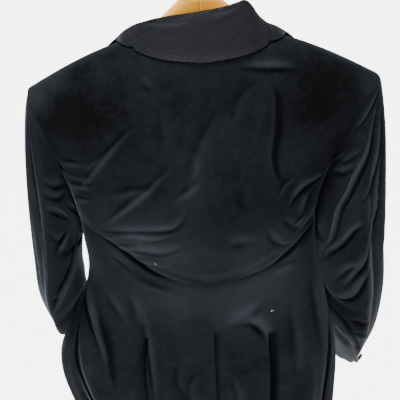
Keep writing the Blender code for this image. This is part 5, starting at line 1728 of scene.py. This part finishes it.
class TailcoatStage(bpy.types.PropertyGroup):
    """The camera, the lights and the floor."""
    elevation: bpy.props.FloatProperty(
        name="Elevation", description="How far above level the camera stands",
        default=math.radians(23), subtype="ANGLE")
    roll: bpy.props.FloatProperty(
        name="Roll", description="How far the camera is turned about its own axis",
        default=math.radians(2.4), subtype="ANGLE")
    distance: bpy.props.FloatProperty(
        name="Distance", description="From the camera to what it looks at",
        default=1.30, unit="LENGTH")
    focal: bpy.props.FloatProperty(
        name="Focal length", description="Focal length of the camera, in millimetres",
        default=86.6, subtype="DISTANCE_CAMERA")
    shift: bpy.props.FloatProperty(
        name="Shift", description="How far the picture is shifted sideways",
        default=-0.02)
    target: bpy.props.FloatVectorProperty(
        name="Target", description="What the camera looks at",
        default=(0, 0.05, -0.350), subtype="XYZ", unit="LENGTH")
    floor_height: bpy.props.FloatProperty(
        name="Floor height", description="Height of the floor below the hook's seat",
        default=-1.34, unit="LENGTH")
    floor_size: bpy.props.FloatProperty(
        name="Floor size", description="Width of the floor",
        default=40.0, unit="LENGTH")
    floor_colour: bpy.props.FloatVectorProperty(
        name="Floor", description="Colour of the floor",
        default=(0.94, 0.94, 0.94), subtype="COLOR", min=0.0, max=1.0)
    sky_strength: bpy.props.FloatProperty(
        name="Sky", description="Strength of the even light from all round",
        default=0.9, min=0.0)
    key_strength: bpy.props.FloatProperty(
        name="Key light", description="Strength of the broad light above the coat's back",
        default=19.0, min=0.0)
    key_softness: bpy.props.FloatProperty(
        name="Key softness", description="How wide the broad light is, as an angle",
        default=math.radians(30), subtype="ANGLE")


class TAILCOAT_OT_backs(bpy.types.Operator):
    """Make the two halves of the back with the centre of the tails"""
    bl_idname = "tailcoat.backs"
    bl_label = "Backs"

    def execute(self, context):
        for side in SIDES:
            make_back(side)
        return {"FINISHED"}


class TAILCOAT_OT_side_bodies(bpy.types.Operator):
    """Make the two side bodies"""
    bl_idname = "tailcoat.side_bodies"
    bl_label = "Side bodies"

    def execute(self, context):
        for side in SIDES:
            make_side_body(side)
        return {"FINISHED"}


class TAILCOAT_OT_foreparts(bpy.types.Operator):
    """Make the two foreparts with their free flaps"""
    bl_idname = "tailcoat.foreparts"
    bl_label = "Foreparts"

    def execute(self, context):
        for side in SIDES:
            make_forepart(side)
        return {"FINISHED"}


class TAILCOAT_OT_skirts(bpy.types.Operator):
    """Make the side parts of the tails"""
    bl_idname = "tailcoat.skirts"
    bl_label = "Skirts"

    def execute(self, context):
        for side in SIDES:
            make_skirt(side)
        return {"FINISHED"}


class TAILCOAT_OT_sleeves(bpy.types.Operator):
    """Make the top sleeves and the under sleeves"""
    bl_idname = "tailcoat.sleeves"
    bl_label = "Sleeves"

    def execute(self, context):
        for side in SIDES:
            make_sleeve_piece("top_sleeve", side, FORE_SEAM - 1, HIND_SEAM)
            make_sleeve_piece("under_sleeve", side, HIND_SEAM, FORE_SEAM)
        return {"FINISHED"}


class TAILCOAT_OT_collar(bpy.types.Operator):
    """Make the two halves of the silk collar"""
    bl_idname = "tailcoat.collar"
    bl_label = "Collar"

    def execute(self, context):
        for side in SIDES:
            make_collar(side)
        return {"FINISHED"}


class TAILCOAT_OT_buttons(bpy.types.Operator):
    """Make the covered buttons of the fronts and the cuffs"""
    bl_idname = "tailcoat.buttons"
    bl_label = "Buttons"

    def execute(self, context):
        for side in SIDES:
            make_buttons(side)
        return {"FINISHED"}


class TAILCOAT_OT_hanger(bpy.types.Operator):
    """Make the wooden arms of the hanger and its hook"""
    bl_idname = "tailcoat.hanger"
    bl_label = "Hanger"

    def execute(self, context):
        for side in SIDES:
            make_arm(side)
        make_hook()
        return {"FINISHED"}


class TAILCOAT_OT_lint(bpy.types.Operator):
    """Lay the white lint on the back's pile"""
    bl_idname = "tailcoat.lint"
    bl_label = "Lint"

    def execute(self, context):
        make_lint()
        return {"FINISHED"}


class TAILCOAT_OT_stage(bpy.types.Operator):
    """Make the floor, the lights and the camera"""
    bl_idname = "tailcoat.stage"
    bl_label = "Stage"

    def execute(self, context):
        stage = stage_settings()
        deselect_all()
        make_world()
        make_floor()
        make_light("key light", (0.45, 0.55, 2.0), stage.key_strength, stage.key_softness)
        make_camera()
        return {"FINISHED"}


class TAILCOAT_PT_panel(bpy.types.Panel):
    """The steps that build the tailcoat, with its settings"""
    bl_idname = "TAILCOAT_PT_panel"
    bl_label = "Tailcoat"
    bl_space_type = "VIEW_3D"
    bl_region_type = "UI"
    bl_category = "Tailcoat"

    def draw(self, context):
        for settings in (cloth_settings(), colour_settings(), stage_settings()):
            box = self.layout.box()
            for name in settings.__annotations__:
                box.prop(settings, name)
        for operator in OPERATORS:
            self.layout.operator(operator.bl_idname)


OPERATORS = (
    TAILCOAT_OT_backs, TAILCOAT_OT_side_bodies, TAILCOAT_OT_foreparts, TAILCOAT_OT_skirts,
    TAILCOAT_OT_sleeves, TAILCOAT_OT_collar, TAILCOAT_OT_buttons, TAILCOAT_OT_hanger,
    TAILCOAT_OT_lint, TAILCOAT_OT_stage,
)
SETTINGS = {
    "tailcoat_cloth": TailcoatCloth,
    "tailcoat_colours": TailcoatColours,
    "tailcoat_stage": TailcoatStage,
}


def register():
    for kind in (*SETTINGS.values(), *OPERATORS, TAILCOAT_PT_panel):
        bpy.utils.register_class(kind)
    for name, kind in SETTINGS.items():
        setattr(bpy.types.Scene, name, bpy.props.PointerProperty(type=kind))


def unregister():
    for name in SETTINGS:
        delattr(bpy.types.Scene, name)
    for kind in (TAILCOAT_PT_panel, *OPERATORS[::-1], *SETTINGS.values()):
        bpy.utils.unregister_class(kind)


def main():
    register()
    bpy.ops.tailcoat.backs()
    bpy.ops.tailcoat.side_bodies()
    bpy.ops.tailcoat.foreparts()
    bpy.ops.tailcoat.skirts()
    bpy.ops.tailcoat.sleeves()
    bpy.ops.tailcoat.collar()
    bpy.ops.tailcoat.buttons()
    bpy.ops.tailcoat.hanger()
    bpy.ops.tailcoat.lint()
    bpy.ops.tailcoat.stage()
    deselect_all()


if __name__ == "__main__":
    main()
